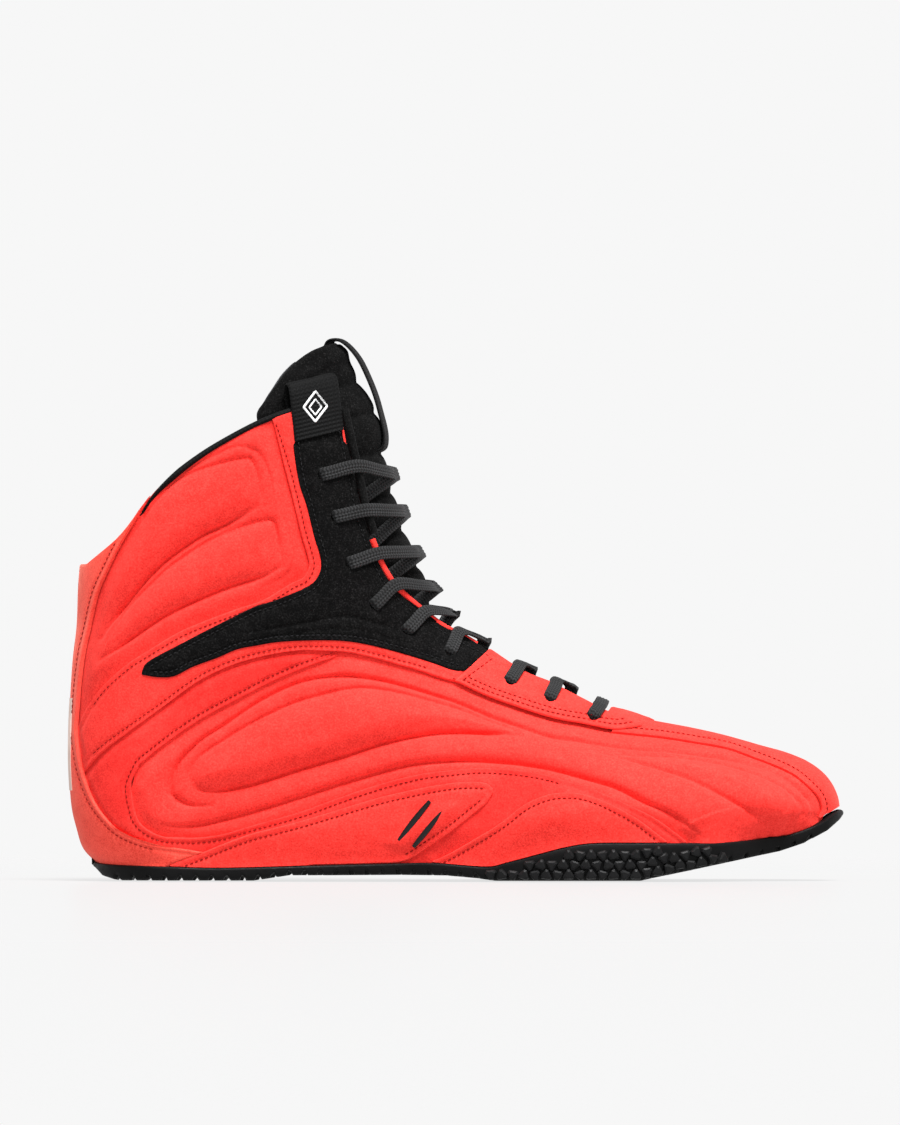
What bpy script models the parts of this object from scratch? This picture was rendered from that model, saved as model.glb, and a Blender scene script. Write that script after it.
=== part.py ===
# High-top lace-up boxing boot, right foot.
# +X points to the toe, -Y is the lateral side, +Z is up, and the ground is Z = 0.
# Every outline below is a side view, as (X, Z) points in millimetres.

import math

import bpy
import numpy as np

MM = 0.001

# Offsets from the outer skin, in millimetres, negative towards the foot.
OVERLAY = (0.0, -1.0)
PANEL = (-1.6, -3.0)
LINING = (-5.6, -6.4)
VAMP_LINING = (-7.1, -7.9)
BAND = (-2.0, -3.1)
TONGUE_DEEP = -9.2
TONGUE_HIGH = -2.9
TONGUE_TOP = -1.0
TONGUE_THICK = 4.0
TONGUE_LINING_THICK = 0.9
SEAM_GAP = 0.6
CENTRE_GAP = 0.3

# Widths, in millimetres, measured from the centre line.
PLAN_X = (-150, -110, -80, -40, 0, 40, 70, 100, 130, 150)
PLAN_LATERAL = (34, 34, 35, 36, 42, 49, 49, 44, 35, 30)
PLAN_MEDIAL = (33, 33, 34, 33, 37, 46, 49, 44, 35, 30)
SHAFT_HALF_WIDTH = 35.0
HEEL_ROUNDING = 34.0
FRONT_X = (-60, -20, 0, 30, 60, 90, 120, 140, 150)
FRONT_ROUNDING = (44, 48, 58, 58, 50, 41, 31, 23, 20)
TOE_SHIFT = 7.5
CENTRE_Y = 1.73

# Sole, laces and straps.
SOLE_FLOOR = 3.5
SOLE_FLANGE = 0.9
SOLE_WALL = 2.6
TREAD_DEPTH = 1.8
TREAD_WIDTH = 2.6
LACE_WIDTH = 5.3
LACE_THICK = 0.9
LACE_OVER = 0.95
LACE_EDGE = 1.6
LACE_UNDER = -7.95
LACE_TUCK = (-40.5, 166.0)
AGLET_WIDTH = 3.6
AGLET_THICK = 1.1
EYELET_RADIUS = 3.5
TAB_WIDTH = 19.0
WEBBING = 1.1
TAB_OUTER = -0.3
TAB_INNER = -7.8
STRAP_WIDTH = 18.0
BINDING_HEIGHT = 1.9
PIPING_RADIUS = 1.2

HEEL_BACK = ((-136, 6.5), (-141, 12), (-143.5, 19.5), (-145.5, 28.5), (-146.5, 43.5), (-146.5, 55),
             (-146, 68), (-145, 83.5), (-143.5, 96.5), (-143, 110), (-142.5, 117.5), (-140, 120.5))
COLLAR = ((-140, 120.5), (-128, 130.5), (-121, 139), (-115, 147), (-106, 155), (-95, 163), (-83, 170),
          (-73, 175), (-62.5, 179), (-52, 181.5), (-43.5, 181.5))
FRONT = ((-46, 211), (-44.5, 206.5), (-39.5, 201), (-35, 193.5), (-31.5, 186), (-28.5, 178.5), (-26, 171),
         (-24, 163), (-22, 153.5), (-19.5, 145), (-17, 136), (-13.5, 127), (-10, 119), (-6.5, 111),
         (-2.5, 104), (3, 97), (9.5, 92), (16.5, 87), (25.5, 82), (35, 77.5), (44, 74), (53, 69.5),
         (58, 66.5), (66.5, 63), (76, 61), (89.5, 58.5), (103, 55.5), (117, 51.5), (126, 49),
         (133.5, 46), (139.5, 42), (144, 38), (146, 33), (147, 29), (147, 25), (145.5, 20.5),
         (141, 15.5), (132, 10.5), (122, 7.5))
FEATHER = ((-140, 8.2), (-138, 8), (-133.5, 6), (-109, 5), (-87, 4.5), (-51, 5.5), (-31.5, 6), (-9.5, 6.5),
           (4, 5.5), (13.5, 5), (19.5, 6.5), (25.5, 8), (33, 10), (40.5, 12), (48.5, 13.5), (56, 14),
           (70.5, 14), (88, 14), (99.5, 14), (111, 15), (118.5, 16), (126.5, 17), (134, 19.5),
           (139.5, 22), (144, 25), (147, 26.4))
BOTTOM = ((-138, 6), (-135.5, 4.5), (-133, 1.5), (-128, 0), (-123.5, 0), (-76, 0), (-62.5, 2), (-47.5, 2),
          (-20.5, 2.2), (-3.5, 2), (8, 1), (15.5, 0), (70.5, 0), (75, 1.0), (85, 3), (94.5, 5),
          (104.5, 7), (114, 9), (123.5, 11), (132.5, 14), (141, 18.5), (145.5, 22.5), (147, 25))
TREADS = (-122, -112.5, -103, -93.5, -84, -74.5, -60, -50.5, -41, -31, -21.5, -12.5, -3, 6.5,
          75.5, 85, 94.5, 104, 113.5, 123, 132.5)

# Panel borders on one side of the boot.
ANKLE_SEAM = ((-145, 56), (-143, 60), (-140, 65.5), (-134.5, 73), (-125, 81.5), (-115.5, 87.5), (-102.5, 95),
              (-83.5, 102.5), (-73, 106), (-62, 112.5), (-57, 115), (-55, 119), (-55.5, 123),
              (-58, 131.5), (-60.5, 142), (-64, 155.5), (-67.5, 167), (-70.5, 175.5))
BAND_SEAM = ((-145, 38), (-141.5, 41), (-134.5, 48.5), (-125, 55.5), (-111.5, 65), (-98.5, 74.5), (-87, 80.5),
             (-74.5, 84.5), (-60, 87), (-47.5, 87), (-39.5, 86.5), (-30, 84.5), (-22.5, 82.5),
             (-13, 80), (-5.5, 77.5), (0, 76))
THROAT_UPPER = ((-43.5, 181), (-42.5, 179), (-40, 167), (-37.5, 155.5), (-35, 143), (-31.5, 131), (-28, 120.5),
                (-23.5, 113), (-18, 107), (-11.5, 101.5), (-5, 96.5), (3, 92.5), (9.5, 89))
QUILT_LEFT_TOP = ((-119.5, 44), (-112.5, 49.5), (-104.5, 55.5), (-94.5, 62), (-81.5, 69), (-70, 75), (-58.5, 80),
                  (-47.5, 84), (-41.5, 85.5), (-30, 83.7), (-22.5, 81.6), (-13, 79), (-5.5, 76.5), (0, 75))
STRIPE_SEAM = ((0, 75), (10.5, 71), (20.5, 67.5), (36, 62.5), (49, 60), (60, 57.5), (70.5, 56.5), (80, 55.5),
               (89.5, 54), (103.5, 51.5), (113.5, 48), (122.5, 44.5), (129.5, 41), (135, 36.5),
               (139, 32), (140.5, 27), (139.5, 23.5))
QUILT_LOW = ((-122.5, 30), (-120.5, 23), (-116.5, 19), (-111, 16.5), (-104.5, 16), (-96.5, 16), (-87, 17.5),
             (-76, 21), (-58.5, 26), (-43.5, 31.5), (-28.5, 36.5), (-13, 40.5), (-1.5, 42), (9.5, 43),
             (21, 42.5), (32.5, 41), (42, 38.5), (51.5, 35.5), (63, 30.5), (74.5, 24.5), (82.5, 19),
             (88, 14.8))
HEEL_SEAM = ((-121.5, 136.5), (-128, 125.5), (-131.5, 118.5), (-135, 111), (-137, 104.5), (-139, 95.5),
             (-141, 87), (-142.5, 76.5), (-143.5, 65), (-144, 57), (-143, 48.5), (-141.5, 41),
             (-138, 31.5), (-133, 24), (-126.5, 18), (-116.5, 14), (-106, 12.5), (-95.5, 11))
OVERLAY_REAR = ((-118.5, 79), (-116, 83), (-104, 89.5), (-94.5, 94.5), (-82.5, 100.5), (-75, 104), (-68.5, 106),
                (-58.5, 110), (-54, 112.5), (-51.5, 115.5), (-50.5, 119), (-51, 123.5), (-53, 130),
                (-56, 142), (-58.5, 149.5), (-60, 157), (-61, 164.5))
OVERLAY_LOW = ((-118.5, 78), (-112, 77), (-106, 77.5), (-99, 81), (-89.5, 84.5), (-82.5, 87.5), (-75, 89),
               (-65, 90.5), (-47.5, 91), (-36, 90), (-23, 87), (-9.5, 83), (-1.5, 80.2), (1.2, 80.5),
               (4.3, 82.6), (8.4, 87.2))
OVERLAY_FRONT = ((8.6, 88.6), (2.5, 92.2), (-5.5, 97), (-12.5, 101.5), (-19, 107), (-24, 112.3), (-28.5, 120),
                 (-33, 131.5), (-36.5, 144), (-39, 157), (-41, 167), (-42.5, 169.5))
EYESTAY_THROAT = ((11, 89.0), (14, 87.5), (22, 82.2), (28, 78.7), (36.5, 75.4), (43, 72), (52, 67.4), (58.5, 64))
EYESTAY_LOW = ((0.8, 75.5), (10.5, 71), (20.5, 67.3), (36, 62.3), (49, 59.8), (60, 57.7), (66.5, 58.2), (71, 59),
               (76, 61))
ARCH_TOP = ((-108, 5.8), (-103.5, 7.5), (-95.5, 10.5), (-87, 14), (-77.5, 17.5), (-68, 20), (-58.5, 22.5),
            (-43.5, 27), (-28.5, 31.5), (-13, 35), (-1.5, 37), (6.5, 37.5), (12, 37), (14.5, 35))
ARCH_LOW = ((-107, 5.4), (-87, 5.0), (-51, 6.0), (-31.5, 6.5), (-19, 7.4), (-9.5, 13), (-1.5, 18.5), (6, 24.5),
            (12, 29.5), (14.5, 33.5))
FOREFOOT_TOP = ((-8.5, 7.4), (-1.5, 10.5), (8, 16), (17.5, 22), (25, 28), (30.5, 31), (36.5, 33), (42.5, 33.5),
                (48.5, 33), (56, 30.5), (64, 26.5), (70.5, 22.5), (76.5, 18), (80.5, 15))
FOREFOOT_LOW = ((-7.5, 7.0), (4, 6.0), (13.5, 5.6), (19.5, 7.0), (25.5, 8.6), (33, 10.6), (40.5, 12.6),
                (48.5, 14.1), (56, 14.6), (70.5, 14.6), (79.5, 14.6))
TONGUE_FRONT = ((-44.5, 206), (-39.5, 200.5), (-35, 193), (-31.5, 185.5), (-28.5, 178), (-26, 170.5), (-24, 163),
                (-22, 153.5), (-19.5, 145), (-17, 136), (-13.5, 127), (-10, 119), (-6.5, 111),
                (-2.5, 104), (3, 97), (9.5, 92), (16.5, 87), (25.5, 82), (35, 77.5), (44, 74), (53, 69.5), (63, 64.4))
TONGUE_REAR = ((-47, 204.5), (-52, 202), (-61, 194.5), (-70, 183.5), (-74.5, 176.5), (-72, 167), (-62, 152),
               (-51, 136.5), (-41, 121.5), (-30, 108), (-17, 98), (-1.5, 86), (17.5, 76), (40, 65.5),
               (56, 57.5))
STRAP_SIDE = ((-42, 204.6), (-38.8, 202.6), (-34.6, 198), (-31.4, 191.5), (-28.4, 184), (-25.6, 174.5),
              (-24.4, 169))
EYELETS = ((-49.5, 154), (-44.5, 138), (-39, 120.5), (-30, 105), (-17.5, 95.5), (-1.5, 87.5), (21.5, 76.4),
           (36.5, 70), (53, 63.2))
PIPING = ((-41.6, 178.5), (-39, 167), (-36.4, 155.5), (-33.9, 143), (-30.4, 131.5))
FACING = ((-30.8, 129.5), (-27.4, 120.5), (-22.9, 113), (-17.4, 107.4), (-10.9, 102), (-4.4, 97), (3.4, 93), (8.6, 90))
TAB_BASE = (-51.4, 170.0)
TAB_ACROSS = (0.97, 0.24)
TAB_RISE = np.array((-0.11, 0.99))


def smooth(points, count, power=1.0):
    """A Catmull-Rom curve through the points, as count points. A power over 1 crowds them at the start."""
    knots = np.array(points, float)
    padded = np.vstack([2 * knots[0] - knots[1], knots, 2 * knots[-1] - knots[-2]])
    fine = []
    for i in range(len(knots) - 1):
        a, b, c, d = padded[i:i + 4]
        for t in np.linspace(0, 1, 12, endpoint=False):
            fine.append(0.5 * (2 * b + (c - a) * t + (2 * a - 5 * b + 4 * c - d) * t**2
                               + (3 * b - a - 3 * c + d) * t**3))
    fine.append(knots[-1])
    fine = np.array(fine)
    along = np.concatenate([[0], np.cumsum(np.linalg.norm(np.diff(fine, axis=0), axis=1))])
    wanted = np.linspace(0, 1, count) ** power * along[-1]
    return np.column_stack([np.interp(wanted, along, fine[:, k]) for k in range(fine.shape[1])])


def part_of(points, start, end, count, power=1.0):
    """The stretch of a smooth curve between two fractions of its length."""
    fine = smooth(points, 400)
    wanted = (start + (end - start) * np.linspace(0, 1, count) ** power) * 399
    return np.column_stack([np.interp(wanted, np.arange(400), fine[:, k]) for k in range(2)])


def joined(*curves):
    rows = [curves[0]]
    for curve in curves[1:]:
        rows.append(curve[1:])
    return np.vstack(rows)


def shifted(curve, distance):
    """The curve moved sideways, to the left of its direction for a positive distance."""
    run = np.gradient(curve, axis=0)
    run /= np.maximum(np.linalg.norm(run, axis=1), 1e-9)[:, None]
    return curve + distance * np.column_stack([-run[:, 1], run[:, 0]])


def height(table, x):
    knots = np.array(table, float)
    return np.interp(x, knots[:, 0], knots[:, 1])


def ease(x, low, high):
    t = np.clip((np.asarray(x, float) - low) / (high - low), 0, 1)
    return t * t * (3 - 2 * t)


FRONT_LINE = smooth(FRONT, 260)
THROAT_LINE = joined(smooth(THROAT_UPPER, 60), smooth(EYESTAY_THROAT, 40))
GUARD_LINE = joined(smooth(COLLAR[:7], 30), smooth(((-83, 170), (-68, 180), (-64, 191), (-55, 195), (-46, 194),
                                                    (-42.5, 184), (-42.5, 179)), 20),
                    smooth(THROAT_UPPER[1:], 40), smooth(EYESTAY_THROAT, 30))


def line_distance(points, line):
    """Signed distance of each point from a line, positive to the right of its direction, and the nearest X."""
    start = line[:-1]
    run = line[1:] - start
    rel = points[:, None, :] - start[None]
    t = np.clip((rel * run).sum(2) / (run**2).sum(1), 0, 1)
    near = start + t[..., None] * run
    gap = points[:, None, :] - near
    squared = (gap**2).sum(2)
    best = squared.argmin(1)
    rows = np.arange(len(points))
    turn = run[best, 0] * gap[rows, best, 1] - run[best, 1] * gap[rows, best, 0]
    return np.where(turn <= 0, 1, -1) * np.sqrt(squared[rows, best]), near[rows, best, 0]


def rounding(ratio):
    inside = np.minimum(ratio, 1)
    return inside * (2 - inside)


def width_squared(points, side):
    """The square of the skin's distance from the centre plane."""
    x = points[:, 0]
    z = points[:, 1]
    plan = np.interp(x, PLAN_X, PLAN_LATERAL if side < 0 else PLAN_MEDIAL)
    wide = plan + (SHAFT_HALF_WIDTH - plan) * ease(z, 35, 105)
    wide = wide * (1 - 0.07 * (1 - ease(z - height(FEATHER, x), 0, 16)))
    front, near_x = line_distance(points, FRONT_LINE)
    back = np.array(HEEL_BACK + ((-137, 150), (-133, 215)), float)
    rear = x - np.interp(z, back[:, 1], back[:, 0])
    return wide**2 * rounding(front / np.interp(near_x, FRONT_X, FRONT_ROUNDING)) * rounding(rear / HEEL_ROUNDING)


def centre(x):
    return TOE_SHIFT * ease(x, 0, 150) - CENTRE_Y


def skin(points, side, offset=0.0, gap=0.0):
    """Points of the layer at this offset from the skin, in millimetres, and the skin's normals there."""
    points = np.asarray(points, float).reshape(-1, 2)
    step = 0.4
    square = width_squared(points, side)
    by_x = (width_squared(points + (step, 0), side) - width_squared(points - (step, 0), side)) / (2 * step)
    by_z = (width_squared(points + (0, step), side) - width_squared(points - (0, step), side)) / (2 * step)
    y = np.maximum(np.sqrt(np.maximum(square, 0)), gap)
    slope = (centre(points[:, 0] + step) - centre(points[:, 0] - step)) / (2 * step)
    normal = np.column_stack([-by_x - 2 * side * y * slope, 2 * side * y, -by_z])
    normal /= np.maximum(np.linalg.norm(normal, axis=1), 1e-9)[:, None]
    if gap:
        normal[:, 1] = np.where(y <= gap, 0, normal[:, 1])
        normal /= np.linalg.norm(normal, axis=1)[:, None]
    base = np.column_stack([points[:, 0], centre(points[:, 0]) + side * y, points[:, 1]])
    return base + normal * np.reshape(offset, (-1, 1)), normal


for thing in list(bpy.data.objects):
    bpy.data.objects.remove(thing)


def material(name, color, roughness, metallic=0.0):
    made = bpy.data.materials.new(name)
    made.use_nodes = True
    shader = made.node_tree.nodes["Principled BSDF"]
    shader.inputs["Base Color"].default_value = (*color, 1)
    shader.inputs["Roughness"].default_value = roughness
    shader.inputs["Metallic"].default_value = metallic
    return made


parts = bpy.data.collections.new("boxing_boot")
bpy.context.scene.collection.children.link(parts)
cutters = bpy.data.collections.new("cutters")
bpy.context.scene.collection.children.link(cutters)


def make_object(name, points, faces, paint, collection=None):
    """A mesh object from points in millimetres, with its faces turned outward."""
    points = np.asarray(points, float)
    volume = 0.0
    for face in faces:
        for k in range(1, len(face) - 1):
            volume += np.dot(points[face[0]], np.cross(points[face[k]], points[face[k + 1]]))
    if volume < 0:
        faces = [tuple(reversed(face)) for face in faces]
    mesh = bpy.data.meshes.new(name)
    mesh.from_pydata([tuple(point) for point in points * MM], [], faces)
    mesh.update()
    obj = bpy.data.objects.new(name, mesh)
    if paint:
        mesh.materials.append(paint)
    (collection or parts).objects.link(obj)
    return obj


def shell(name, outer, inner, paint):
    """A closed sheet between two grids of points, outer[i][j] and inner[i][j]."""
    rows, columns = outer.shape[:2]
    count = rows * columns
    points = np.vstack([outer.reshape(-1, 3), inner.reshape(-1, 3)])
    faces = []
    for i in range(rows - 1):
        for j in range(columns - 1):
            a = i * columns + j
            b = a + columns
            faces.append((a, a + 1, b + 1, b))
            faces.append((a + count, b + count, b + 1 + count, a + 1 + count))
    rim = [j for j in range(columns)]
    rim += [i * columns + columns - 1 for i in range(1, rows)]
    rim += [(rows - 1) * columns + j for j in range(columns - 2, -1, -1)]
    rim += [i * columns for i in range(rows - 2, 0, -1)]
    for k, a in enumerate(rim):
        b = rim[(k + 1) % len(rim)]
        faces.append((b, a, a + count, b + count))
    return make_object(name, points, faces, paint)


def heel_bulge(points, near):
    """How far back the heel's curve carries points at this height, fading out 40 mm in front of it."""
    back = np.array(HEEL_BACK, float)
    return (np.interp(points[..., 1], back[:, 1], back[:, 0]) + 143) * (1 - ease(near, -140, -100))


def ruled(first, second, count, spread=None):
    """A grid of side-view points between two curves that have the same number of points.

    Its cross lines are straight except near the heel, where they follow the heel's back."""
    steps = np.linspace(0, 1, count) if spread is None else spread
    straight = []
    for curve in (first, second):
        x = curve[:, 0].copy()
        for _ in range(12):
            x = curve[:, 0] - heel_bulge(curve, x)
        straight.append(np.column_stack([x, curve[:, 1]]))
    grid = straight[0][:, None, :] * (1 - steps)[None, :, None] + straight[1][:, None, :] * steps[None, :, None]
    grid[..., 0] += heel_bulge(grid, grid[..., 0])
    return grid


def one_side(name, grid, side, offsets, paint):
    """A panel on one side of the boot."""
    flat = grid.reshape(-1, 2)
    outer = skin(flat, side, offsets[0], CENTRE_GAP)[0].reshape(*grid.shape[:2], 3)
    inner = skin(flat, side, offsets[1], CENTRE_GAP)[0].reshape(*grid.shape[:2], 3)
    return shell(name, outer, inner, paint)


def both_sides(name, grid, offsets, paint):
    """A panel that crosses the centre line at the grid's first column."""
    rows, columns = grid.shape[:2]
    layers = []
    for offset in offsets:
        value = np.broadcast_to(offset, (rows * columns,))
        lateral = skin(grid.reshape(-1, 2), -1, value)[0].reshape(rows, columns, 3)
        medial = skin(grid.reshape(-1, 2), 1, value)[0].reshape(rows, columns, 3)
        middle = (lateral[:, :1] + medial[:, :1]) / 2
        layers.append(np.concatenate([lateral[:, :0:-1], middle, medial[:, 1:]], axis=1))
    return shell(name, layers[0], layers[1], paint)


ROUNDED = ((-1, -0.5), (-0.85, -1), (0.85, -1), (1, -0.5), (1, 0.5), (0.85, 1), (-0.85, 1), (-1, 0.5))
SQUARE = ((-1, -1), (1, -1), (1, 1), (-1, 1))


def ribbon(name, centres, across, wide, thick, paint, corners=ROUNDED):
    """A flat band swept along the centres, with its width along the across directions."""
    centres = np.asarray(centres, float)
    run = np.gradient(centres, axis=0)
    run /= np.linalg.norm(run, axis=1)[:, None]
    across = np.asarray(across, float)
    across = across - (across * run).sum(1)[:, None] * run
    across /= np.linalg.norm(across, axis=1)[:, None]
    up = np.cross(run, across)
    wide = np.reshape(wide, (-1, 1)) / 2
    thick = np.reshape(thick, (-1, 1)) / 2
    rings = np.stack([centres + across * wide * a + up * thick * b for a, b in corners], axis=1)
    count = len(corners)
    faces = [tuple(range(count - 1, -1, -1))]
    for i in range(len(centres) - 1):
        for j in range(count):
            k = (j + 1) % count
            faces.append((i * count + j, i * count + k, (i + 1) * count + k, (i + 1) * count + j))
    last = (len(centres) - 1) * count
    faces.append(tuple(last + j for j in range(count)))
    return make_object(name, rings.reshape(-1, 3), faces, paint)


red_suede = material("red_suede", (0.62, 0.035, 0.03), 0.85)
dark_suede = material("dark_red_suede", (0.52, 0.03, 0.027), 0.88)
black_suede = material("black_suede", (0.02, 0.02, 0.02), 0.9)
lining_cloth = material("black_lining_mesh", (0.03, 0.03, 0.032), 0.8)
tongue_cloth = material("black_neoprene", (0.025, 0.025, 0.026), 0.75)
rubber = material("black_rubber", (0.018, 0.018, 0.018), 0.55)
board = material("fibre_board", (0.42, 0.34, 0.24), 0.8)
foam = material("footbed_foam", (0.05, 0.05, 0.055), 0.85)
webbing = material("black_webbing", (0.03, 0.03, 0.03), 0.7)
lace_cloth = material("black_lace", (0.03, 0.03, 0.03), 0.75)
plastic = material("clear_black_aglet", (0.04, 0.04, 0.04), 0.25)
print_ink = material("grey_print", (0.45, 0.45, 0.46), 0.5)

SIDES = ((-1, "lateral"), (1, "medial"))
QUICK_START = 1 - np.cos(np.linspace(0, 1, 6) * math.pi / 2)


def above_feather(curve, lift):
    """The curve kept at least this far above the sole's edge."""
    low = height(FEATHER, curve[:, 0]) + lift
    return np.column_stack([curve[:, 0], np.maximum(curve[:, 1], low)])


def heel_line(low, high, count):
    """The back of the heel between two heights, as side-view points."""
    back = np.array(HEEL_BACK, float)
    z = np.linspace(low, high, count)
    return np.column_stack([np.interp(z, back[:, 1], back[:, 0]), z])


# Outer panels, each made for the lateral and the medial side.
for side, word in SIDES:
    collar_low = shifted(smooth(COLLAR, 40), -2.3)
    collar_low[0] = (-142.6, 117.0)
    pad_top = joined(heel_line(57.5, 117.0, 9), part_of(collar_low, 0.0, 0.72, 14, 1.6))
    pad_low = shifted(joined(part_of(ANKLE_SEAM, 0.0, 0.36, 9, 1.5), part_of(ANKLE_SEAM, 0.36, 0.985, 14)), SEAM_GAP)
    one_side(f"ankle_pad_{word}", ruled(pad_top, pad_low, 6), side, PANEL, red_suede)

    band_top = shifted(joined(part_of(ANKLE_SEAM, 0.0, 0.55, 14, 1.6), part_of(ANKLE_SEAM, 0.55, 0.975, 13)), -SEAM_GAP)
    band_low = joined(shifted(part_of(BAND_SEAM, 0.0, 0.99, 13, 1.6), SEAM_GAP),
                      smooth(((-0.6, 77.2), (3.0, 82.0), (5.4, 88.6)), 4),
                      shifted(part_of(THROAT_UPPER, 0.04, 0.95, 11)[::-1], 0.9))
    one_side(f"ankle_band_{word}", ruled(band_top, band_low[:26], 6), side, BAND, red_suede)

    side_out = joined(shifted(part_of(BAND_SEAM, 0.0, 0.68, 13, 1.6)[::-1], SEAM_GAP), heel_line(36, 10, 5),
                      above_feather(smooth(((-136, 7), (-100, 6), (-30, 7), (20, 8), (84, 16)), 20, 1.5), 0.8))
    side_in = joined(shifted(part_of(QUILT_LEFT_TOP, 0.0, 0.55, 13)[::-1], -SEAM_GAP),
                     smooth(((-120.6, 43), (-123.8, 36), (-123.4, 29)), 5), shifted(smooth(QUILT_LOW, 20), -SEAM_GAP))
    side_in = above_feather(side_in, 1.6)
    one_side(f"side_band_{word}", ruled(side_out, side_in, 6, QUICK_START), side, BAND, dark_suede)

    quilt_top = shifted(joined(smooth(QUILT_LEFT_TOP, 14), smooth(STRIPE_SEAM, 18)), -SEAM_GAP)
    quilt_low = joined(smooth(QUILT_LOW, 24), above_feather(smooth(((88, 14), (110, 16), (138.5, 23)), 8), 0.8))
    quilt_low = shifted(quilt_low, SEAM_GAP)
    one_side(f"quilted_panel_{word}", ruled(quilt_top, quilt_low, 8), side, PANEL, red_suede)

    over_rear = joined(part_of(OVERLAY_REAR, 0.0, 0.55, 12), part_of(OVERLAY_REAR, 0.55, 1.0, 14))
    over_low = joined(part_of(OVERLAY_LOW, 0.0, 0.52, 8), part_of(OVERLAY_LOW, 0.52, 1.0, 8),
                      smooth(OVERLAY_FRONT, 11))
    one_side(f"ankle_overlay_{word}", ruled(over_rear, over_low[:25], 7), side, OVERLAY, black_suede)

    arch = ruled(smooth(ARCH_TOP, 16), smooth(ARCH_LOW, 16), 5)
    one_side(f"arch_patch_{word}", arch, side, OVERLAY, red_suede)
    fore = ruled(smooth(FOREFOOT_TOP, 16), smooth(FOREFOOT_LOW, 16), 5)
    one_side(f"forefoot_patch_{word}", fore, side, OVERLAY, red_suede)

    floor_line = ((-137.6, 8.6), (-130, 5.4), (-120, 4.6), (-60, 6.4), (0, 6.6), (43, 4.5))
    lining_top = joined(part_of(collar_low, 0.0, 0.99, 14, 1.5), shifted(part_of(THROAT_UPPER, 0.05, 1.0, 10), -2.0),
                        shifted(part_of(EYESTAY_THROAT, 0.1, 0.93, 8), -1.8))
    lining_grid = ruled(lining_top, smooth(floor_line, 30, 1.25), 9)
    one_side(f"quarter_lining_{word}", lining_grid, side, LINING, lining_cloth)


def folded_over(first, second):
    """One grid from a lateral grid, the row where both sides meet, and a medial grid."""
    middle = (first[-1:] + second[-1:]) / 2
    return np.concatenate([first[:-1], middle, second[-2::-1]], axis=0)


def ridge(low, high, count):
    """The top line of the vamp between two X values, as side-view points."""
    x = np.linspace(low, high, count)
    ahead = FRONT_LINE[FRONT_LINE[:, 0] > -20]
    ahead = ahead[:ahead[:, 0].argmax() + 1]
    return np.column_stack([x, np.interp(x, ahead[:, 0], ahead[:, 1])])


TOE_TIP = ((133.5, 46), (139.5, 42), (144, 38), (146, 33), (147, 28.2))

# Panels that cross the centre line.
heel_side = smooth(((-122.5, 134),) + HEEL_SEAM[1:15] + ((-118, 14.2), (-112, 10.5), (-110.5, 6.8)), 16)
both_sides("heel_panel", ruled(heel_line(117, 9.0, 16), heel_side, 6, QUICK_START),
           OVERLAY, red_suede)
label_back = heel_line(68, 35, 6)
label_edge = label_back + np.array([1.3, 0])
both_sides("heel_label", ruled(label_back, label_edge, 4, np.linspace(0, 1, 4) ** 2), (1.0, 0.4), print_ink)

throat = joined(smooth(EYESTAY_THROAT, 14), ridge(59.2, 60, 2))
low = joined(smooth(EYESTAY_LOW[:-1], 14), ridge(73, 76, 2))
eyestay_grid = ruled(throat, low, 5)
eyestay_grid[-1] = ridge(60, 76, 5)
layers = []
for offset in OVERLAY:
    lateral_grid = skin(eyestay_grid, -1, offset)[0].reshape(*eyestay_grid.shape[:2], 3)
    medial_grid = skin(eyestay_grid, 1, offset)[0].reshape(*eyestay_grid.shape[:2], 3)
    layers.append(folded_over(lateral_grid, medial_grid))
shell("lower_eyestay", layers[0], layers[1], red_suede)

stripe_ridge = joined(ridge(71, 133.5, 11), smooth(TOE_TIP, 6))
stripe_side = shifted(smooth(STRIPE_SEAM[5:], 16), SEAM_GAP)
both_sides("toe_stripe", ruled(stripe_ridge, stripe_side, 6, 1 - np.cos(np.linspace(0, 1, 6) * math.pi / 2)),
           BAND, red_suede)
vamp_ridge = joined(ridge(61, 133.5, 13), smooth(TOE_TIP, 6))
vamp_low = smooth(((47, 4.6), (75, 5.6), (104, 11.6), (123, 16), (134, 20), (140, 25.0)), 18)
vamp_steps = 1 - np.cos(np.linspace(0, 1, 9) * math.pi / 2)
both_sides("vamp_lining", ruled(vamp_ridge, vamp_low, 9, vamp_steps), VAMP_LINING, lining_cloth)
# Tongue, its lining and its lace strap.
tongue_steps = 1 - np.cos(np.linspace(0, 1, 8) * math.pi / 2)
tongue_grid = ruled(smooth(TONGUE_FRONT, 18), smooth(TONGUE_REAR, 18), 8, tongue_steps)
tongue_flat = tongue_grid.reshape(-1, 2)
outside = -line_distance(tongue_flat, GUARD_LINE)[0]
tongue_free = TONGUE_HIGH + (TONGUE_TOP - TONGUE_HIGH) * ease(tongue_flat[:, 1], 162, 176)
tongue_outer = TONGUE_DEEP + (tongue_free - TONGUE_DEEP) * ease(outside, 1.5, 14)
both_sides("tongue", tongue_grid, (tongue_outer, tongue_outer - TONGUE_THICK), tongue_cloth)
lining_grid = ruled(smooth(TONGUE_FRONT, 18)[1:-1], smooth(TONGUE_REAR, 18)[1:-1], 7, tongue_steps[:7])
lining_flat = lining_grid.reshape(-1, 2)
outside = -line_distance(lining_flat, GUARD_LINE)[0]
lining_free = TONGUE_HIGH + (TONGUE_TOP - TONGUE_HIGH) * ease(lining_flat[:, 1], 162, 176)
lining_outer = TONGUE_DEEP + (lining_free - TONGUE_DEEP) * ease(outside, 1.5, 14) - TONGUE_THICK - 1.1
both_sides("tongue_lining", lining_grid, (lining_outer, lining_outer - TONGUE_LINING_THICK), lining_cloth)
strap_line = smooth(STRAP_SIDE, 12)
strap_points = np.column_stack([strap_line[:, 0], centre(strap_line[:, 0]), strap_line[:, 1]])
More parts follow.
